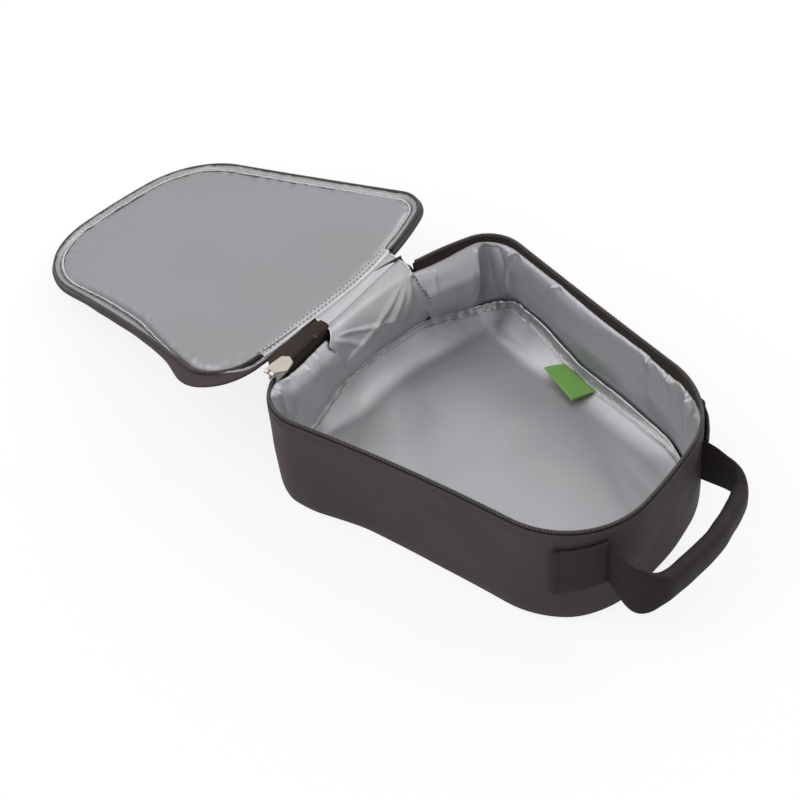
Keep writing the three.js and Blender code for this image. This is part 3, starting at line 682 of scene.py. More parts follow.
# height of the floor seam's outer ridge
SEAM = round_table([
    (5, 20), (24, 23.5), (33, 19.5), (44, 15), (59, 10), (80, 9), (150, 9), (400, 9), (482, 9),
    (508, 10.5), (519, 13), (546, 16), (565, 17.3), (594, 17), (605, 17), (614, 19.5), (625, 22.5),
    (634, 25.5), (644, 27.8), (669, 28), (687, 20), (704, 14.5), (722, 16), (738, 20), (756, 22.5),
    (774, 19.5), (793, 20),
], 3)

# how far in the seam band reaches from its outer ridge, and how far down
BAND_REACH = round_table([
    (0, 2.2), (20, 2.3), (40, 3.6), (70, 4.5), (482, 4.2), (503, 3.9), (525, 5.4), (555, 4.9),
    (579, 4.8), (613, 4.6), (630, 4.4), (652, 3.0), (690, 3.2), (730, 3.2), (752, 2.8), (770, 2.2),
], 4)
BAND_DROP = round_table([
    (0, 2.6), (20, 2.6), (40, 3.6), (70, 3.5), (482, 1.5), (503, 1.6), (525, 4), (555, 6.4),
    (579, 7.6), (613, 7.4), (630, 7.4), (652, 6.4), (690, 4.6), (730, 4.4), (752, 3.8), (770, 2.6),
], 4)

# height of the lining's top edge
TOP = round_table([
    (0, 70), (40, 71), (51, 70.3), (64, 69.8), (80, 71.8), (96, 74.3), (120, 73.6), (136, 71),
    (180, 68), (300, 68), (400, 69), (482, 71.5), (503, 67.4), (528, 66.5), (549, 70), (591, 69),
    (630, 71.2), (679, 71), (708, 72.4), (729, 68.3), (743, 67.8), (763, 70),
], 2.5)

# how far the hem of the lid's film stands in from the lid's edge
LID_EDGE = round_table([
    (0, 0.6), (32, 0.3), (44, 0), (60, -1.4), (78, -2.6), (92, -1.6), (106, 0.8), (125, 2.4),
    (150, 2.2), (200, 1.4), (300, 0.8), (560, 0.8), (640, 1.6), (735, 2.6), (750, 2.9), (758, 1.6),
    (790, 0.9),
], 2.5)

# share of the lid's full rolled band outside its bound seam
LID_BAND = round_table([
    (0, 1), (84, 1), (100, 0.7), (118, 0.1), (150, 0.1), (163, 0.25), (186, 0.62), (215, 1.3),
    (255, 1.4), (300, 1.2), (345, 1), (700, 1), (750, 1),
], 6)

# how far the lid's border bulges out
LID_BULGE = round_table([
    (0, 0), (50, 0.5), (70, 2), (90, 3.6), (108, 7), (125, 9), (142, 7), (160, 3), (185, 0.8),
    (240, 0.4), (330, 0.2), (560, 0), (620, 0.8), (690, 0.6), (740, 0.2),
], 5)

# how far the lid's pad stands above its bound seam
LID_CROWN = round_table([
    (0, 1.4), (60, 1.0), (90, 1.0), (112, 3.4), (130, 5), (170, 5.6), (215, 5.6), (245, 5), (275, 3.6),
    (310, 1.6), (345, 0), (560, -0.4), (620, 0.8), (680, 1.5), (740, 1.6),
], 8)


def seam_height(s):
    return look_up(s, SEAM)


# Outer shell of the tray

def foot_lean(s, z):
    """How far in the wall stands at a height, because of where its foot is."""
    return look_up(s, FOOT) * (1 - np.clip(z / 76, 0, 1)) ** 1.15


def wall_dents(s, z):
    """Soft unevenness of the unstiffened wall."""
    rise = np.clip(z / ZIP_Z, 0, 1)
    belly = np.sin(np.pi * rise)
    soft = 1.3 * noise(s / 47 + z / 90, z / 36, 3) + 0.5 * noise(s / 19 - z / 30, z / 19, 4)
    pucker = 0.32 * noise(s / 5.5, z / 40, 5) * bump(z, 69.5, 5)
    return belly * soft + pucker


def outer_profile():
    """(inset, height) from the base seam up the wall to the folded edge under the zip."""
    return along_keys([
        (2.6, 1.6), (1.5, 3.0), (0.6, 5.6), (0.1, 9.5), (0, 14), (0, 27), (0, 40), (0, 55), (0, 66),
        (0.1, 70), (0.35, 72.2), (0.1, 74), (0.1, 75.8), (0.5, CLOTH_TOP), (1.1, CLOTH_TOP - 0.3),
        (1.4, CLOTH_TOP - 2.5),
    ], 70)


def shell_piece(name, start, stop, columns, top=CLOTH_TOP):
    line = outer_profile()
    s = np.linspace(start, stop, columns)[None, :]
    inset = line[:, :1]
    z = line[:, 1:]
    total = inset + foot_lean(s, z) + wall_dents(s, z) * ease(z, 3, 14) * (1 - ease(z, 71, 76))
    return grid(name, wall(s, total, z * top / CLOTH_TOP))


def add_outer_shell():
    """Outer cloth of the walls, in two pieces, with the topstitching under the zip."""
    side = shell_piece("outer_wall", SEAM_NEAR, SEAM_FAR, 640)
    dress(side, CLOTH, replaces=["side_gusset"])
    hinge = shell_piece("hinge_wall", SEAM_FAR - PERIMETER, SEAM_NEAR, 90, top=HINGE_WALL_TOP)
    dress(hinge, CLOTH, replaces=["hinge_gusset"])
    s = np.linspace(SEAM_NEAR, SEAM_FAR, 900)
    path = wall(s, 0.28, 72.3 + 0.15 * noise(s / 9, 0, 6))
    nx, ny = rim(s)[2:]
    out = np.stack([-nx, -ny, 0 * nx], axis=-1)
    dress(stitches("wall_topstitch", path, out, 2.4, 0.7, 0.24), DARK_THREAD)


def add_base():
    """Bottom panel whose edge turns up to the seam with the wall."""
    s = round_rim(480)
    rings = [(2.5, 1.7), (2.9, 1.2), (4.0, 0.6), (6.0, 0.3), (9, 0.15), (13, 0.12)]
    rows = [wall(s, inset + foot_lean(s, z), z) for inset, z in rings]
    outline = rows[-1]
    for share in np.linspace(0.93, 0.03, 16):
        ring = shrunk(outline, PLAN_CENTRE, share)
        ring[:, 2] = 0.12 + 0.5 * (1 + noise(ring[:, 0] / 40, ring[:, 1] / 40, 8)) * (1 - share)
        rows.append(ring)
    rows.append(shrunk(outline, PLAN_CENTRE, 0, 0.35))
    base = grid("base_panel", np.stack(rows), wrap_cols=True, flip=True)
    dress(thicken(base, 0.7), CLOTH, replaces=["back_panel"])
    s = round_rim(500)
    welt = tube("base_welt", wall(s, 2.3 + foot_lean(s, 1.8), 1.8), 0.5, 6, closed=True)
    dress(welt, TAPE)


# Zip

def coil_path(start, stop, middle_z, turns_up=1, corner_rise=0.0):
    """Helix of the coil along the rim, and the distance round at each of its points."""
    length = stop - start
    turns = int(length / COIL_PITCH)
    share = np.linspace(0, 1, turns * 12 + 1)
    s = start + length * share
    a = 2 * math.pi * turns * share * turns_up
    rise = 1.2 * np.sin(a) + corner_rise * bump(s, 124, 24) * np.clip(np.sin(a), 0, 1)
    return wall(s, TAPE_INSET + 0.95 * np.cos(a), middle_z + rise), s


def coil_mesh(name, path, s, carry=None):
    """Wire of the coil round its helix."""
    nx, ny = rim(s)[2:]
    up = np.stack([ny, -nx, 0 * nx], axis=-1)
    if carry:
        path = carry(path)
        up = carry(up) - carry(np.zeros_like(up))
    side, normal = frames(path, up)
    section = round_section(COIL_WIRE, 5)
    points = path[:, None] + side[:, None] * section[:, :1] + normal[:, None] * section[:, 1:]
    rows, cols = points.shape[:2]
    return new_object(name, points, quads(rows, cols, wrap_cols=True).tolist(), points)


def tape_points(low, high):
    s = np.linspace(ZIP_START, ZIP_STOP, 520)[None, :]
    return wall(s, TAPE_INSET, np.linspace(low, high, 9)[:, None])


def add_tray_zip():
    """Tape and teeth on the tray. The teeth before the slider are closed and sit lower."""
    tape = grid("zip_tape_tray", tape_points(TAPE_FOOT, 78.6))
    dress(thicken(tape, 0.6, 0), TAPE, replaces=["tray_zip_tape"])
    path, s = coil_path(SLIDER_S, COIL_STOP, COIL_MIDDLE)
    coil = coil_mesh("zip_coil_tray", path, s)
    dress(coil, COIL, replaces=["tray_zip_coil"])
    path, s = coil_path(COIL_START, SLIDER_S, COIL_MIDDLE - CLOSED_COIL_DROP)
    dress(coil_mesh("zip_coil_closed", path, s), TAPE)
    s = np.linspace(COIL_START, COIL_STOP, 620)
    path = wall(s, TAPE_INSET, COIL_MIDDLE - CLOSED_COIL_DROP * (1 - ease(s, 88, 98)))
    dress(tube("zip_core_tray", path, COIL_CORE, 10, flat=1.3), TAPE)


def add_lid_zip():
    """Tape and teeth on the lid."""
    tape = grid("zip_tape_lid", opened(tape_points(81.4, 86.4)))
    dress(thicken(tape, 0.6, 0), TAPE, "lid", ["lid_zip_tape"])
    path, s = coil_path(COIL_START, COIL_STOP, LID_COIL_Z, -1, 1.6)
    coil = coil_mesh("zip_coil_lid", path, s, opened)
    dress(coil, COIL, "lid", ["lid_zip_coil"])
    path = opened(wall(np.linspace(COIL_START, COIL_STOP, 620), TAPE_INSET, LID_COIL_Z))
    dress(tube("zip_core_lid", path, COIL_CORE, 10, flat=1.3), TAPE, "lid")


# Lining of the tray

PLEATS = [
    # distance round, depth (in where positive), width, how far down it runs, lean
    (708, 4.6, 3.2, 26, 0.10),
    (701, -4.2, 4.2, 30, -0.25),
    (692, -1.6, 5, 24, -0.7),
    (679, 4.2, 2.6, 22, 0.0),
    (673, -2.8, 3.6, 20, 0.15),
    (634, 3.4, 2.4, 9, 0.35),
    (629, -1.8, 3.2, 10, 0.2),
    (546, 3.2, 2.6, 12, -0.3),
    (541, -1.6, 3, 10, -0.5),
    (527, 2.4, 3.4, 14, -0.4),
    (516, -1.8, 4.5, 20, -0.2),
    (505, 3.4, 3.6, 14, -0.5),
    (497, -2.4, 5, 26, -0.3),
    (484, 2.2, 4, 18, 0.2),
    (743, 1.8, 3.4, 12, 0.3),
    (96, 3.6, 7, 30, 0.1),
    (113, -5.5, 9, 26, 0.1),
    (82, -1.6, 6, 18, 0.3),
    (130, 1.6, 2.5, 20, 0.1),
    (136, -1.2, 3, 20, 0.2),
    (64, 1.6, 4, 14, -0.2),
    (52, 1.2, 3, 9, 0.3),
]


def lining_fold(s, drop):
    """Pleats and creases of the film at a distance down from its top edge."""
    total = 0 * s * drop
    for place, depth, width, reach, lean in PLEATS:
        middle = place + lean * drop
        fade = np.exp(-np.clip(drop, 0, None) / reach)
        sharp = np.exp(-np.abs(s - middle) / (width * (0.6 + drop / 40)))
        total = total + depth * sharp * fade
    top = np.exp(-drop / 8)
    soft = 1.7 * noise(s / 36 + drop / 50, drop / 26, 11) + 0.7 * noise(s / 14, drop / 22, 12)
    near_top = 0.16 * crinkle(s / 8, drop / 14, 13) * top
    return total + soft * ease(drop, 0, 14) + near_top


def lining_top(s):
    """Height of the lining's top edge, with its crumples."""
    crumpled = bump(s, 631, 7) + bump(s, 543, 8) + bump(s, 515, 26) + 0.6 * bump(s, 70, 40)
    crumples = (0.08 + 0.6 * crumpled) * noise(s / 2.7, 0, 22)
    return look_up(s, TOP) + 0.2 * noise(s / 9, 0, 21) + crumples


def wide_end_share(s):
    """1 on the wide end, 0 on the long sides and the narrow end."""
    past = np.minimum(s, PERIMETER - s)
    return 1 - ease(past, 88, 112)


def profile(share, keys, insets):
    """Smooth run of insets from the top edge (0) to the foot (1)."""
    fine = np.linspace(0, 1, 801)
    run = np.interp(fine, keys, insets)
    for _ in range(2):
        run = np.convolve(np.pad(run, 30, mode="edge"), np.full(61, 1 / 61), mode="valid")
    sharp = np.interp(share, keys, insets)
    soft = np.interp(share, fine, run)
    return sharp + (soft - sharp) * ease(share, 0.02, 0.09)


def lining_wall(s, share):
    """Point of the lining's wall, from its sewn top edge (0) to the floor seam (1)."""
    top = lining_top(s)
    wide = wide_end_share(s)
    foot = seam_height(s) - 1.6 * (1 - wide)
    z = top + (foot - top) * share
    drop = top - z
    keys = [0, 0.015, 0.05, 0.12, 0.3, 0.55, 0.8, 1]
    long_side = profile(share, keys, [2.6, 3.7, 4.8, 5.9, 6.9, 7.0, 5.6, 3.6])
    end = profile(share, keys, [2.6, 4.0, 6.0, 9.2, 14.2, 16.4, 13.2, 5.6])
    end += 2.8 * (1 - ease(share, 0.1, 0.5)) * (s < PERIMETER / 2) * (1 - ease(s, 80, 92))
    fold = lining_fold(s, drop) * (1 - ease(share, 0.8, 1.0)) * ease(share, 0.0, 0.06)
    least = 2.5 + np.clip(foot_lean(s, z), 0, None)
    return wall(s, np.maximum(long_side + (end - long_side) * wide + fold, least), z)


def near_seam_y(z):
    """Where the seam between hinge panel and near wall lining lies at a height."""
    return np.interp(z, [10, 22, 37, 50, 61, 70, 76], [-23, -25, -29, -33, -37, -39.5, -38])


def far_seam_y(z):
    return np.interp(z, [10, 20, 33, 40, 48, 60, 70, 76], [58, 57, 55, 51, 48, 44.5, 42.5, 43])


def end_distance(y):
    """Distance round the rim to a place on the wide end, negative on the far side."""
    radius = np.where(y < 0, NEAR["bow"], FAR["bow"])
    return -np.arcsin(y / radius) * radius


def add_wall_lining():
    """Film inside the long sides and the narrow end, with its sewn top edge."""
    share = (np.linspace(0, 1, 64) ** 1.25)[:, None]
    height = 71 - 50 * share
    start = end_distance(near_seam_y(height) + 1)
    stop = PERIMETER + end_distance(far_seam_y(height) - 1)
    s = start + (stop - start) * np.linspace(0, 1, 860)[None, :]
    points = lining_wall(s, share + 0 * s)
    side = grid("wall_lining", points, flip=True)
    dress(side, FOIL, replaces=["side_lining"])
    # the top edge's tube takes the lighter binding colour, a painted highlight along the fold
    dress(tube("lining_edge", points[0], 0.42, 6), LIT_BINDING)


def floor_height(s, inset):
    """Height of the floor lining: it hangs from the raised seam and lies flat further in."""
    edge = seam_height(s) - look_up(s, BAND_DROP)
    run = 9 + 0.6 * edge
    t = np.clip((inset - FLOOR_SEAM_INSET - look_up(s, BAND_REACH)) / run, 0, 1)
    return FLOOR_Z + (edge - FLOOR_Z) * (1 - t) ** 2


def evened(values, times):
    """Values round a ring with their neighbours' heights shared out."""
    for _ in range(times):
        values = (np.roll(values, 1) + values + np.roll(values, -1)) / 3
    return values


def add_floor_lining():
    """Film on the floor, in rings from its seam to the middle."""
    s = round_rim(520)
    first = FLOOR_SEAM_INSET + look_up(s, BAND_REACH)
    rows = []
    for k, share in enumerate(np.linspace(0, 1, 12)):
        inset = first + (FLOOR_FLAT_INSET - first) * share
        rows.append(wall(s, inset, evened(floor_height(s, inset), k)))
    outline = rows[-1]
    reach = np.linalg.norm(outline[:, :2] - FLOOR_CENTRE, axis=1)
    for k, share in enumerate(np.linspace(0.985, 0.02, 52)):
        height = floor_height(s, FLOOR_FLAT_INSET + reach * (1 - share))
        rows.append(shrunk(outline, FLOOR_CENTRE, share, evened(height, 12 + 14 * k)))
    rows.append(shrunk(outline, FLOOR_CENTRE, 0, FLOOR_Z))
    points = np.stack(rows)
    x, y = points[..., 0], points[..., 1]
    hold = np.clip(np.arange(len(rows)) / 12, 0, 1)[:, None]
    wave = 0.9 * noise(x / 66 + y / 160, y / 52 - x / 200, 31) + 0.3 * noise(x / 25, y / 25, 32)
    diagonal = 1.1 * bump((x - 62) * 0.72 + (y + 18) * 0.69, 0, 13) * bump(y, -20, 60)
    narrow_end_fold = 1.5 * bump((x - 205) * 0.45 + (y - 38) * 0.9, 0, 11) * bump(x, 210, 48)
    points[..., 2] += hold * (wave - diagonal - narrow_end_fold)
    points[..., 2] = np.maximum(points[..., 2], FLOOR_LOWEST_Z)
    floor = grid("floor_lining_film", points, wrap_cols=True)
    dress(floor, FOIL, replaces=["floor_lining"])


def add_floor_binding():
    """Bound seam between wall and floor: a ribbed band between two rolled edges."""
    s = round_rim(1000)
    foot = seam_height(s)
    reach = look_up(s, BAND_REACH)
    fall = look_up(s, BAND_DROP)
    size = np.clip(np.hypot(reach, fall) / 8.6, 0, 1)
    rough = 0.22 + 1.1 * bump(s, 690, 30) + 0.25 * bump(s, 20, 50)
    jog = rough * noise(s / 5, 0, 41)
    edge = np.maximum(FLOOR_SEAM_INSET, 2.8 + foot_lean(s, foot))
    outer = wall(s, edge + 0.7 * jog, foot + 0.7 * rough * noise(s / 3.6, 0, 42))
    low = foot - fall + 0.3 + 0.8 * rough * noise(s / 4, 0, 43)
    inner = wall(s, FLOOR_SEAM_INSET + reach + jog, low)
    across = np.linspace(0, 1, 9)[:, None]
    band = outer + (inner - outer) * across[..., None]
    belly = np.sin(np.pi * across)
    grain = noise(s / 1.9, across * 5, 44) + 0.6 * noise(s / 5, across * 2, 47)
    band[..., 2] += size * (-1.1 * belly) + (0.16 + 0.4 * rough) * grain * belly
    strip = grid("floor_binding_band", band, wrap_cols=True, flip=True)
    dress(strip, SHADED_BAND_FOIL, replaces=["floor_seam_binding"])
    fat = 0.55 + 0.3 * size + 0.2 * noise(s / 9, 0, 45) + 0.35 * rough * noise(s / 2.3, 0, 48)
    ridge = tube("floor_binding_outer_roll", outer, np.maximum(fat, 0.3), 8, closed=True)
    dress(ridge, LIT_BINDING)
    fat = 0.3 + 0.4 * size + 0.15 * noise(s / 8, 0, 46) + 0.35 * rough * noise(s / 2.1, 0, 49)
    low = tube("floor_binding_inner_roll", inner, np.maximum(fat, 0.25), 8, closed=True)
    dress(low, LIT_BINDING)


# Hinge: outer cloth, and the lining that runs over it to the lid

def hinge_profile(y):
    """(x, z) keys of the lining from the lid's hem over the hinge to the floor seam."""
    x0 = wide_end_x(y)
    s = end_distance(np.array(y, float)) % PERIMETER
    foot = float(seam_height(s))
    hem = lid_hem_edge(y)
    valley = np.interp(y, [-40, 0, 45], [0.6, -2.0, -5.0])
    depth = 74.4 + 0.8 * bump(y, 30, 22)
    # the hem, the valley over the hinge, the tray's edge and the wall down to the seam
    return [
        (hem[0] - 1.2, hem[1] - 0.9), (hem[0], hem[1] + 0.1), (hem[0] + 2.6, hem[1] + 0.3),
        (0.5 * (hem[0] + valley), 76.4), (valley - 1.2, depth + 0.5), (valley, depth - 0.5),
        (valley + 1.5, depth + 0.6), (x0 + 4.6, 74.6), (x0 + 8.6, 70.5), (x0 + 13.2, 62.5),
        (x0 + 16.4, 53), (x0 + 16.8, 43), (x0 + 13.6, 33), (x0 + 8.4, foot + 4.5),
        (x0 + 6.0, foot + 0.2),
    ]


def lid_hem_edge(y):
    """(x, z) of the film's hem on the open lid, beside the hinge."""
    x0 = wide_end_x(y)
    s = float(end_distance(np.array(y, float)) % PERIMETER)
    at = opened(np.array([x0 + float(look_up(s, LID_EDGE)), y, 81.9]))
    return float(at[0]), float(at[2])


# creases that fan out from the far and the near corner of the hinge's lining: slope, width, depth
FAR_CREASES = [(0.05, 2.6, 1.0), (-0.45, 3.2, 1.5), (-0.95, 4.0, 1.3), (-1.9, 5.0, 1.2)]
NEAR_CREASES = [(0.75, 3.2, 1.1), (1.8, 4.5, 0.9)]


def fan_of_creases(y, reach, creases, fade):
    total = 0
    for slope, width, depth in creases:
        line = bump(y, slope * reach, width * (0.6 + np.clip(reach, 0, 60) / 40))
        total = total + depth * line * ease(reach, 1, 8) * (1 - ease(reach, *fade))
    return total


def hinge_lining_points(rows, columns):
    """Grid of the film from the lid's hem over the hinge and down to the floor seam."""
    across = np.linspace(0, 1, columns)
    base_y = np.linspace(-46, 60, 107)
    profiles = np.stack([along_keys(hinge_profile(float(y)), rows) for y in base_y])
    points = np.zeros((rows, columns, 3))
    for k in range(rows):
        z = np.interp(0, base_y, profiles[:, k, 1])
        front = ease(float(k), rows * 0.20, rows * 0.34)
        near = -32 + (near_seam_y(z) + 32) * front
        far = 46.5 + (far_seam_y(z) - 46.5) * front
        y = near + (far - near) * across
        points[k, :, 0] = np.interp(y, base_y, profiles[:, k, 0])
        points[k, :, 1] = y
        points[k, :, 2] = np.interp(y, base_y, profiles[:, k, 1])
    share = np.linspace(0, 1, rows)[:, None]
    y = points[..., 1]
    reach = (share - 0.26) * 112
    hold = ease(share, 0.10, 0.2) * (1 - ease(share, 0.88, 1))
    fan = fan_of_creases(y - 43, reach, FAR_CREASES, (26, 56))
    fan = fan + fan_of_creases(y + 38, reach, NEAR_CREASES, (20, 42))
    soft = 1.3 * noise(y / 24 + share * 2, share * 4.5, 51) + 0.5 * noise(y / 10, share * 7, 53)
    steep = ease(share, 0.26, 0.42)
    points[..., 0] += hold * (fan + soft) * steep
    points[..., 2] += hold * 0.7 * (fan + 0.5 * soft) * (1 - steep)
    edge = np.minimum(across, 1 - across) * 90
    points[..., 0] -= 1.2 * np.exp(-edge / 2.6) * steep * (1 - ease(share, 0.85, 1))
    return points


def add_side_seam(name, path, cut, wiggle, fold_side, node):
    """Bound seam at one side of the hinge's lining, with its stitches and a dark tube beside it that
    paints the fold's shade.
    """
    k = np.arange(len(path))
    path[:, 1] += wiggle * noise(k / 5.5, 0, 52) * ease(k, 30, 45) + 0.3 * noise(k / 2.2, 0, 54)
    fat = 0.74 + 0.2 * noise(k / 2.6, 0, 55)
    upper = tube(name + "_over", path[: cut + 1], fat[: cut + 1], 7, up=(0, 1, 0))
    dress(upper, LIT_BINDING)
    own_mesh(upper)
    path = path[cut:]
    lower = tube(name, path, fat[cut:], 7, up=(0, 1, 0))
    dress(lower, LIT_BINDING, replaces=[node])
    sewn = stitches(name + "_stitches", path + [0.55, 0, 0.3], (0.8, 0, 0.6), 1.7, 1.5, 0.42)
    dress(sewn, GREY_THREAD_AND_SHADE)
    # painted shade: a dark tube laid beside the seam where the fold's shade falls
    shade = tube(name + "_fold", path + [-0.9, 1.1 * fold_side, 0], 0.5, 6, up=(0, 1, 0))
    dress(shade, GREY_THREAD_AND_SHADE)


def add_hinge_lining():
    """The film from the lid's hem over the hinge down to the floor seam, in two pieces that both stay
    on the tray.
    """
    points = hinge_lining_points(96, 140)
    cut = 32
    over = grid("hinge_lining_over", points[: cut + 1], flip=True)
    dress(over, FOIL, replaces=["hinge_lining_flap"])
    front = grid("hinge_lining_front", points[cut:], flip=True)
    dress(front, FOIL, replaces=["hinge_lining_panel"])
    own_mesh(over)
    start = 3
    near, far = points[start:, 0].copy(), points[start:, -1].copy()
    add_side_seam("near_side_seam", near, cut - start, 0.35, -1, "near_wall_seam")
    add_side_seam("far_side_seam", far, cut - start, 1.3, 1, "far_wall_seam")


def add_hinge_cloth():
    """Outer cloth that folds over at the hinge, under the lining."""
    y = np.linspace(-HINGE_NEAR + 0.4, HINGE_FAR - 0.4, 60)
    x0 = np.array([wide_end_x(at) for at in y])
    line = along_keys([(0.3, 69), (-0.4, 71.4), (-2.2, 72.4), (-5, 72.2), (-7.6, 72.9), (-9.2, 74.2),
                       (-10, 75.6), (-10.4, 76.8)], 24)
    points = np.stack(np.broadcast_arrays(x0 + line[:, :1], y, line[:, 1:]), axis=-1)
    fold = grid("hinge_fold", points)
    dress(thicken(fold, 0.6, 0), CLOTH, None, ["hinge_fabric"])
    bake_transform(fold)


def add_closed_zip_run():
    """Tape where the zip is still closed, between hinge and slider."""
    line = along_keys([(2.3, 66), (2.1, 71), (1.9, 75), (0.8, 77.2), (-2, 77.8), (-5.5, 77.4),
                       (-9, 76.2), (-12.5, 74.6)], 30)
    inset, z = line[:, :1], line[:, 1:]
    start = float(end_distance(np.array(-31.0)))
    stop = 91 + 0.95 * (inset - 2)
    s = start + (stop - start) * np.linspace(0, 1, 100)
    band = grid("closed_zip_band", wall(s, inset, z + 0.8 * noise(s / 24, inset / 9, 56)), flip=True)
    dress(thicken(band, 0.6, 0), TAPE, None)
    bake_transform(band)


# Lid

def slider_room(s):
    """How far the lid's film stands up to clear the slider once the lid is shut."""
    return 2.6 * bump(s, 86, 12)


def add_lid_shell():
    """Outer cloth of the lid and of its border."""
    s = round_rim(560)
    bulge = look_up(s, LID_BULGE) + 0.4 * noise(s / 21, 0, 62)
    # inset, height and share of the bulge
    rings = [(2.8, 82.6, 0), (1.6, 82.7, 0), (0.5, 83.2, 0.35), (-0.3, 84.4, 0.8), (-0.3, 85.8, 1),
             (0.5, 87.1, 0.9), (2.4, 88.0, 0.6), (6, 88.4, 0.3), (12, 88.6, 0)]
    rows = [wall(s, inset - share * bulge, z + 0.6 * slider_room(s) * (z < 84))
            for inset, z, share in rings]
    outline = rows[-1]
    for share in np.linspace(0.94, 0.03, 18):
        ring = shrunk(outline, PLAN_CENTRE, share)
        sag = 0.5 * (1 + noise(ring[:, 0] / 46, ring[:, 1] / 46, 61))
        ring[:, 2] = LID_CLOTH_Z - sag * ease(share, 1, 0.8)
        rows.append(ring)
    rows.append(shrunk(outline, PLAN_CENTRE, 0, LID_CLOTH_Z - 0.1))
    shell = grid("lid_outer_panel", opened(np.stack(rows)), wrap_cols=True)
    dress(shell, CLOTH, "lid", ["front_panel", "lid_gusset", "lid_hinge_gusset"])


def add_lid_band():
    """Rolled band of film outside the lid's bound seam."""
    s = round_rim(900)
    first = look_up(s, LID_EDGE)
    width = look_up(s, LID_BAND)
    rings = [(0, 83.8), (0.1, 82.6), (0.8, 81.7), (2.0, 81.3), (3.2, 81.6), (4.2, 82.4), (4.9, 83.4),
             (5.6, 84.1), (LID_SEAM_INSET, 83.6)]
    rows = []
    for k, (inset, z) in enumerate(rings):
        keep = min(1, k / 3)
        wobble = 0.28 * noise(s / 11, k * 0.3, 71) + 0.42 * noise(s / 2.6, k * 0.55, 72)
        height = z + 0.9 * keep * wobble + slider_room(s)
        rows.append(wall(s, first + inset * width + 0.4 * keep * wobble, height))
    band = grid("lid_rolled_band", opened(np.stack(rows)), wrap_cols=True, flip=True)
    dress(band, SHADED_BAND_FOIL, "lid")


def add_lid_film():
    """Crowned film inside the lid's bound seam, gathered at its edge."""
    s = round_rim(620)
    first = look_up(s, LID_EDGE) + LID_SEAM_INSET * look_up(s, LID_BAND)
    crown = look_up(s, LID_CROWN)
    # inset from the seam, height and share of the crown
    rings = [(-0.6, 84.2, 0), (0, 84.0, 0), (0.5, 83.6, 0.25), (1.4, 83.2, 0.55), (2.8, 82.8, 0.8),
             (4.8, 82.5, 0.95), (7, 82.3, 1), (9, 82.2, 1)]
    rows = [wall(s, first + inset, z - share * crown + slider_room(s)) for inset, z, share in rings]
    outline = rows[-1]
    level = outline[:, 2]
    for share in np.linspace(0.98, 0.02, 50):
        level = evened(level, 60)
        height = level + (LID_FILM_Z - level) * ease(1 - share, 0, 1)
        rows.append(shrunk(outline, PLAN_CENTRE, share, height))
    rows.append(shrunk(outline, PLAN_CENTRE, 0, LID_FILM_Z))
    points = np.stack(rows)
    x, y = points[..., 0], points[..., 1]
    past_edge = (np.arange(len(rows)) - 5)[:, None]
    wave = 1.3 * noise(x / 74 + y / 120, y / 58 - x / 130, 73) + 0.3 * noise(x / 30, y / 30, 74)
    gathers = 0.7 * noise(s / 6, 0, 79) * np.exp(-(past_edge / 4.0) ** 2)
    points[..., 2] += np.clip(past_edge / 8, 0, 1) * wave + gathers
    film = grid("lid_film", opened(points), wrap_cols=True, flip=True)
    # the lid's film takes the darker foil colour, a painted shade
    dress(film, SHADED_LID_FOIL, "lid", ["lid_lining"])


def add_lid_binding():
    """Beaded line of the bound seam round the lid's film."""
    s = round_rim(2600)
    inset = look_up(s, LID_EDGE) + LID_SEAM_INSET * look_up(s, LID_BAND) + 0.25 * noise(s / 7, 0, 75)
    path = wall(s, inset, 83.1 + 0.25 * noise(s / 4, 0, 76) + slider_room(s))
    beads = 0.5 + 0.55 * np.abs(np.sin(math.pi * s / BEAD_PITCH)) + 0.15 * noise(s / 3, 0, 78)
    roll = tube("lid_seam_roll", opened(path), beads, 8, closed=True)
    dress(roll, LIT_BINDING, "lid", ["lid_binding"])


def add_lid_hem():
    """Hem of the film along the hinge, with its two rows of stitches."""
    y = np.linspace(-78.6, 49, 170)
    x0 = np.array([wide_end_x(at) for at in y]) + look_up(end_distance(y) % PERIMETER, LID_EDGE)
    line = along_keys([(-0.1, 82.8), (0.1, 81.8), (0.9, 81.2), (2.4, 80.9), (4.6, 80.8), (6.6, 80.9),
                       (7.6, 81.3), (8.2, 82.4)], 18)
    inset, z = line[:, :1], line[:, 1:]
    z = z + 0.16 * noise(y / 7, inset, 81)
    points = np.stack(np.broadcast_arrays(x0 + inset, y, z), axis=-1)
    hem = grid("lid_hem", opened(points), flip=True)
    dress(hem, LIT_BINDING, "lid", ["lid_lining_hem"])
    down = opened(np.array([0, 0, -1.0])) - opened(np.zeros(3))
    rows = []
    for inset in (2.4, 6.0):
        path = opened(np.stack(np.broadcast_arrays(x0 + inset, y, 80.78), axis=-1))
        rows.append(stitches(f"hem_stitches_{int(inset)}", path, down, 1.9, 1.6, 0.3))
    dress(joined("lid_hem_stitches", rows), HEM_THREAD, "lid")


# Padding inside the walls

def pad_between(name, start, stop, columns):
    """Pad of foam behind a stretch of the wall, inside the wall's dents."""
    z = np.linspace(*WALL_PAD_HEIGHTS, 12)[:, None]
    s = np.linspace(start, stop, columns)[None, :]
    lean = foot_lean(s, z)
    front = wall(s, 1.2 + lean + np.clip(wall_dents(s, z), 0, None), z)
    back = wall(s, 3.4 + lean, z)
    ring = np.concatenate([front, back[::-1]])
    rows, cols = ring.shape[:2]
    faces = quads(rows, cols, wrap_rows=True).tolist()
    for edge in (0, cols - 1):
        for k in range(len(z) - 1):
            faces.append([k * cols + edge, (k + 1) * cols + edge,
                          (rows - 2 - k) * cols + edge, (rows - 1 - k) * cols + edge])
    return new_object(name, ring, faces, ring)


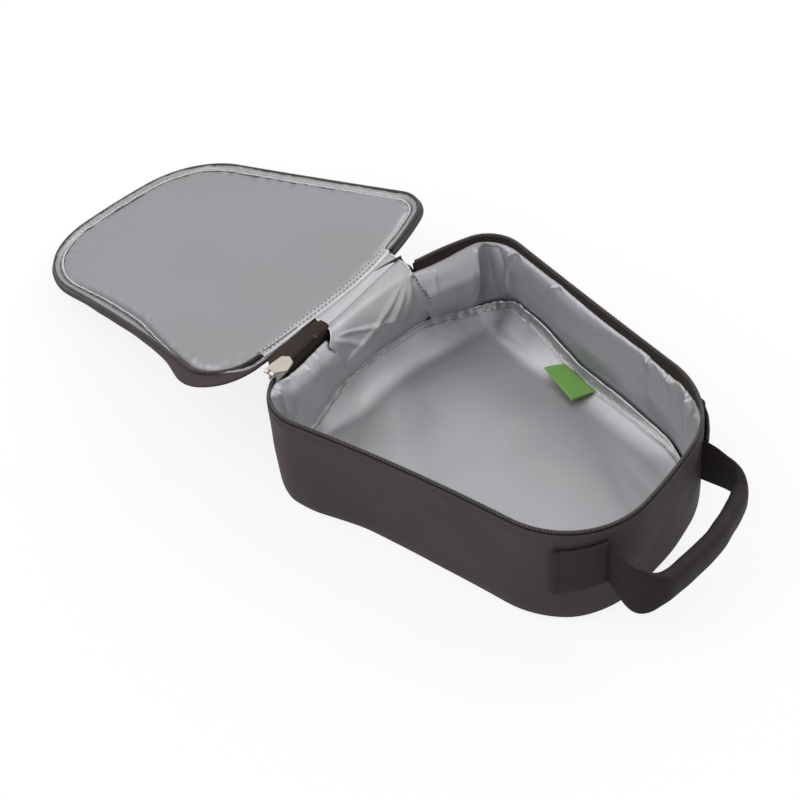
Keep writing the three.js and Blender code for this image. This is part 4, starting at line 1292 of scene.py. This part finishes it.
def flat_pad(name, low, high, inset, carry=None):
    """Flat pad of foam between two heights."""
    s = round_rim(240)
    outline = wall(s, inset + 2, high)
    upper = [shrunk(outline, PLAN_CENTRE, share, high) for share in np.linspace(1, 0.02, 10)]
    lower = [ring - [0, 0, high - low] for ring in upper]
    sides = [wall(s, inset, low + 0.6), wall(s, inset, high - 0.6)]
    points = np.stack(lower[::-1] + sides + upper)
    rows, cols = points.shape[:2]
    faces = quads(rows, cols, wrap_cols=True).tolist() + end_faces(rows, cols)
    points = carry(points) if carry else points
    return new_object(name, points, faces, points)


def add_padding():
    base_inset = PAD_INSET + foot_lean(round_rim(240), 3.0)
    for pad, body, node in (
        (pad_between("wall_padding", ZIP_START, ZIP_STOP, 300), "tray", "side_foam"),
        (pad_between("hinge_padding", ZIP_STOP - PERIMETER + 1, ZIP_START - 1, 60),
         "tray", "hinge_foam"),
        (flat_pad("base_padding", 1.5, 4.4, base_inset), "tray", "back_foam"),
        (flat_pad("lid_padding", 84.6, 87.4, PAD_INSET, opened), "lid", "lid_foam"),
    ):
        dress(pad, FOAM, body, [node])


# Label

def add_label():
    """Folded loop of woven label that hangs from the floor seam's inner ridge."""
    sewn = np.array([[106.1, 90.0, 12.9], [136.4, 85.2, 10.2]])
    loose = np.array([[97.0, 80.0, 11.6], [128.5, 70.5, 9.4]])
    across = np.linspace(0, 1, 40)[:, None]
    upper = sewn[0] + (sewn[1] - sewn[0]) * across
    lower = loose[0] + (loose[1] - loose[0]) * across
    keys = along_keys([(-0.06, 0.1), (0.06, 0.95), (0.35, 1.25), (0.7, 1.05), (0.95, 0.75), (1.02, 0.1),
                       (0.95, -0.5), (0.6, -0.15), (0.2, 0.05)], 46)
    rows = []
    for share, lift in keys:
        row = upper + (lower - upper) * share
        row[:, 2] += lift + 0.35 * noise(across[:, 0] * 3, share * 1.5, 91)
        rows.append(row)
    label = grid("folded_label", np.stack(rows))
    dress(thicken(label, 0.45, 0), LABEL, replaces=["woven_label"])


# Handle

HANDLE_Z = 50
PATCH_ANGLES = (26, 57)
HANDLE_KEYS = [
    # plan x, y of the webbing's middle, from the near root to the far one
    (249.3, -50.2), (257, -53.4), (266.5, -57.2), (275, -58.6), (282, -56.8), (287, -50.5),
    (289.8, -39.5), (291, -20.6), (291.1, 1.5), (288, 20.7), (283.7, 37.8), (278.2, 48.5),
    (271, 53.2), (262, 54.0), (252.5, 53.6), (244.6, 52.6),
]


def handle_section(share):
    """Closed section (across, up) of the webbing: flat at the roots, rolled in the grip."""
    rolls_up = ease(share, GRIP_FROM - 0.11, GRIP_FROM + 0.03)
    opens_out = ease(share, GRIP_TO - 0.03, GRIP_TO + 0.11)
    roll = rolls_up * (1 - opens_out)
    a = np.linspace(0, 2 * math.pi, 44, endpoint=False)
    c, s = np.cos(a), np.sin(a)
    up = np.sign(s) * np.abs(s) ** (0.25 + 0.45 * roll) * (WEBBING_WIDTH / 2 * (1 - roll) + 11.4 * roll)
    thick = WEBBING / 2 * (1 - roll) + 6.0 * roll
    across = np.sign(c) * np.abs(c) ** (0.5 + 0.3 * roll) * thick
    groove = np.exp(-(((a - math.radians(232)) / 0.10) ** 2))
    flap = np.exp(-(((a - math.radians(226)) / 0.30) ** 2))
    size = 1 + roll * (0.05 * flap - 0.13 * groove)
    return np.stack([across * size, up * size], axis=-1)


def add_handle():
    """Webbing from patch to patch: two flat runs that bend, and the rolled grip between."""
    count = 220
    share = np.linspace(0, 1, count)
    path = np.column_stack([along_keys(HANDLE_KEYS, count), np.full(count, float(HANDLE_Z))])
    creased = ease(share, 0.2, 0.3) * (1 - ease(share, 0.7, 0.8))
    swell = 1 + creased * 0.035 * noise(share * 19, 0, 95)
    sections = np.stack([handle_section(t) for t in share]) * swell[:, None, None]
    tilt = np.radians(9 * bump(share, 0.2, 0.07) + 8 * bump(share, 0.87, 0.07))[:, None]
    side, normal = frames(path, (0, 0, 1))
    up = np.cos(tilt) * normal + np.sin(tilt) * side
    first, last = int(GRIP_FROM * count), int(GRIP_TO * count)
    for name, start, stop, node in (
        ("near_strap", 0, first + 1, "near_handle_webbing"),
        ("grip", first, last + 1, "handle_grip"),
        ("far_strap", last, count, "far_handle_webbing"),
    ):
        piece = sweep(name, path[start:stop], sections[start:stop], up[start:stop])
        if name == "grip":
            dress(piece, ROLLED, "handle", [node])
        else:
            dress(piece, WEB, None, [node])
            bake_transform(piece)


def add_anchor(side, name, node):
    """One sewn-down end of the webbing, with a sewn box and cross."""
    x, y, radius = half_arcs(side)[3][:3]
    ends = [rim_near(x + radius * math.cos(t), side * (y + radius * math.sin(t)))
            for t in np.radians(PATCH_ANGLES)]
    climb = 4.5 if side < 0 else 0

    def at(along, up):
        s = ends[0] + (ends[1] - ends[0]) * along
        z = HANDLE_Z + up - climb * along
        fold = bump(along, 0.94, 0.05) + 0.3 * bump(along, 0.08, 0.05)
        border = np.clip((WEBBING_WIDTH / 2 - np.abs(up)) / 1.4, 0, 1) ** 0.5
        out = 1.0 + fold + 0.8 * border + 0.3 * noise(along * 3, up / 12, 96)
        return wall(s, foot_lean(s, z) + wall_dents(s, z) - out, z)

    along = np.linspace(0, 1, 70)[None, :]
    up = np.linspace(-WEBBING_WIDTH / 2, WEBBING_WIDTH / 2, 34)[:, None]
    patch = grid(name, at(along, up), flip=side > 0)
    dress(thicken(patch, 1.5), PATCH_WEB, replaces=[node])
    middle = sum(ends) / 2
    away = wall(middle, -1, 0) - wall(middle, 0, 0)
    corners = [(0.12, -14), (0.82, -14), (0.82, 14), (0.12, 14)]
    steps = np.linspace(0, 1, 40)
    sewn = []
    for first, last in ((0, 1), (1, 2), (2, 3), (3, 0), (0, 2), (1, 3)):
        (along_0, up_0), (along_1, up_1) = corners[first], corners[last]
        line = at(along_0 + (along_1 - along_0) * steps, up_0 + (up_1 - up_0) * steps)
        sewn.append(stitches(f"{name}_sewn_{first}_{last}", line, away, 2.2, 0.8, 0.22))
    dress(joined(name + "_stitches", sewn), DARK_THREAD)


# Slider and pull

def dress_metal():
    """Metal and softened edges for the solids of slider, pull and stops, which are shown."""
    for name, width in (
        ("zip_slider", 0.4), ("pull_link", 0.25), ("pull_tab", 0.4),
        ("tray_zip_top_stop", 0.3), ("lid_zip_top_stop", 0.3), ("zip_bottom_stop", 0.3),
    ):
        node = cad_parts[name]
        node.data.materials.clear()
        node.data.materials.append(DARK_METAL if name.endswith("stop") else METAL)
        edge = node.modifiers.new("edge", "BEVEL")
        edge.width = width / 1000
        edge.segments = 3


# Floor, light and camera

# azimuth, height and roll in degrees; lengths in metres
CAMERA_ANGLES = (42.2, 47.1, -1.4)
CAMERA_TARGET = (0.0527 - BAG_LENGTH / 2000, -0.0186, 0.030)
CAMERA_DISTANCE = 1.563
CAMERA_LENS = 106.07
LAMP_TARGET = (0, 0, 0.04)


def add_stage():
    """Pale floor: the camera sees it glow, and the rest of the light treats it as matt."""
    bpy.ops.mesh.primitive_plane_add(size=8, location=(0, 0, -0.0002))
    floor = bpy.context.object
    floor.name = "floor"
    g = material("pale_floor")
    path = g.add("ShaderNodeLightPath")
    diffuse = g.add("ShaderNodeBsdfDiffuse", {"Color": (0.93, 0.93, 0.93, 1)})
    glow = g.add("ShaderNodeEmission", {"Color": (1, 1, 1, 1), "Strength": 1.07})
    share = g.math("MULTIPLY", path.outputs["Is Camera Ray"], 0.78)
    mix = g.add("ShaderNodeMixShader", {0: share, 1: diffuse.outputs[0], 2: glow.outputs[0]})
    floor.data.materials.append(g.output("ShaderNodeOutputMaterial", mix))


def add_world():
    """White where it is seen directly or in a reflection, softer as a light."""
    world = bpy.data.worlds.new("studio")
    bpy.context.scene.world = world
    g = Graph(world)
    path = g.add("ShaderNodeLightPath")
    seen = g.math("MAXIMUM", path.outputs["Is Camera Ray"], path.outputs["Is Transmission Ray"])
    seen = g.math("MAXIMUM", seen, path.outputs["Is Glossy Ray"])
    soft = g.add("ShaderNodeBackground", {"Color": (0.97, 0.98, 1.0, 1), "Strength": 0.46})
    plain = g.add("ShaderNodeBackground", {"Color": (1, 1, 1, 1), "Strength": 1.0})
    mix = g.add("ShaderNodeMixShader", {0: seen, 1: soft.outputs[0], 2: plain.outputs[0]})
    g.output("ShaderNodeOutputWorld", mix)


def unit(vector):
    return vector / np.linalg.norm(vector)


def put_up(name, data, place, axes):
    """Lamp or camera at a place in metres, with its own x, y and z along the given axes."""
    thing = bpy.data.objects.new(name, data)
    bpy.context.scene.collection.objects.link(thing)
    thing.location = place
    thing.rotation_mode = "QUATERNION"
    thing.rotation_quaternion = Matrix(np.column_stack(axes).tolist()).to_quaternion()
    return thing


def add_lamp(name, place, size, power):
    """Square lamp that faces the bag."""
    data = bpy.data.lights.new(name, "AREA")
    data.shape = "RECTANGLE"
    data.size, data.size_y = size
    data.energy = power
    away = unit(np.array(place) - LAMP_TARGET)
    side = unit(np.cross((0, 0, 1), away))
    put_up(name, data, place, (side, np.cross(away, side), away))


def add_camera():
    azimuth, height, roll = np.radians(CAMERA_ANGLES)
    level = math.cos(height)
    back = np.array([math.sin(azimuth) * level, -math.cos(azimuth) * level, math.sin(height)])
    right = unit(np.cross(-back, (0, 0, 1)))
    up = np.cross(right, -back)
    turned_right = math.cos(roll) * right + math.sin(roll) * up
    turned_up = math.cos(roll) * up - math.sin(roll) * right
    data = bpy.data.cameras.new("camera")
    data.sensor_width = 36
    data.lens = CAMERA_LENS
    data.clip_end = 20
    place = np.array(CAMERA_TARGET) + back * CAMERA_DISTANCE
    bpy.context.scene.camera = put_up("camera", data, place, (turned_right, turned_up, back))


add_camera()
add_stage()
add_world()
add_lamp("key_light", (-0.9, -1.5, 1.9), (2.4, 2.4), 24)
add_lamp("side_light", (0.3, 1.7, 1.3), (1.9, 1.3), 16)
bpy.context.scene.view_settings.view_transform = "Standard"

add_outer_shell()
add_base()
add_tray_zip()
add_wall_lining()
add_floor_lining()
add_floor_binding()
add_hinge_lining()
add_hinge_cloth()
add_closed_zip_run()
add_lid_shell()
add_lid_zip()
add_lid_band()
add_lid_film()
add_lid_binding()
add_lid_hem()
add_padding()
add_label()
add_handle()
add_anchor(-1, "near_patch", "near_anchor_patch")
add_anchor(1, "far_patch", "far_anchor_patch")
dress_metal()
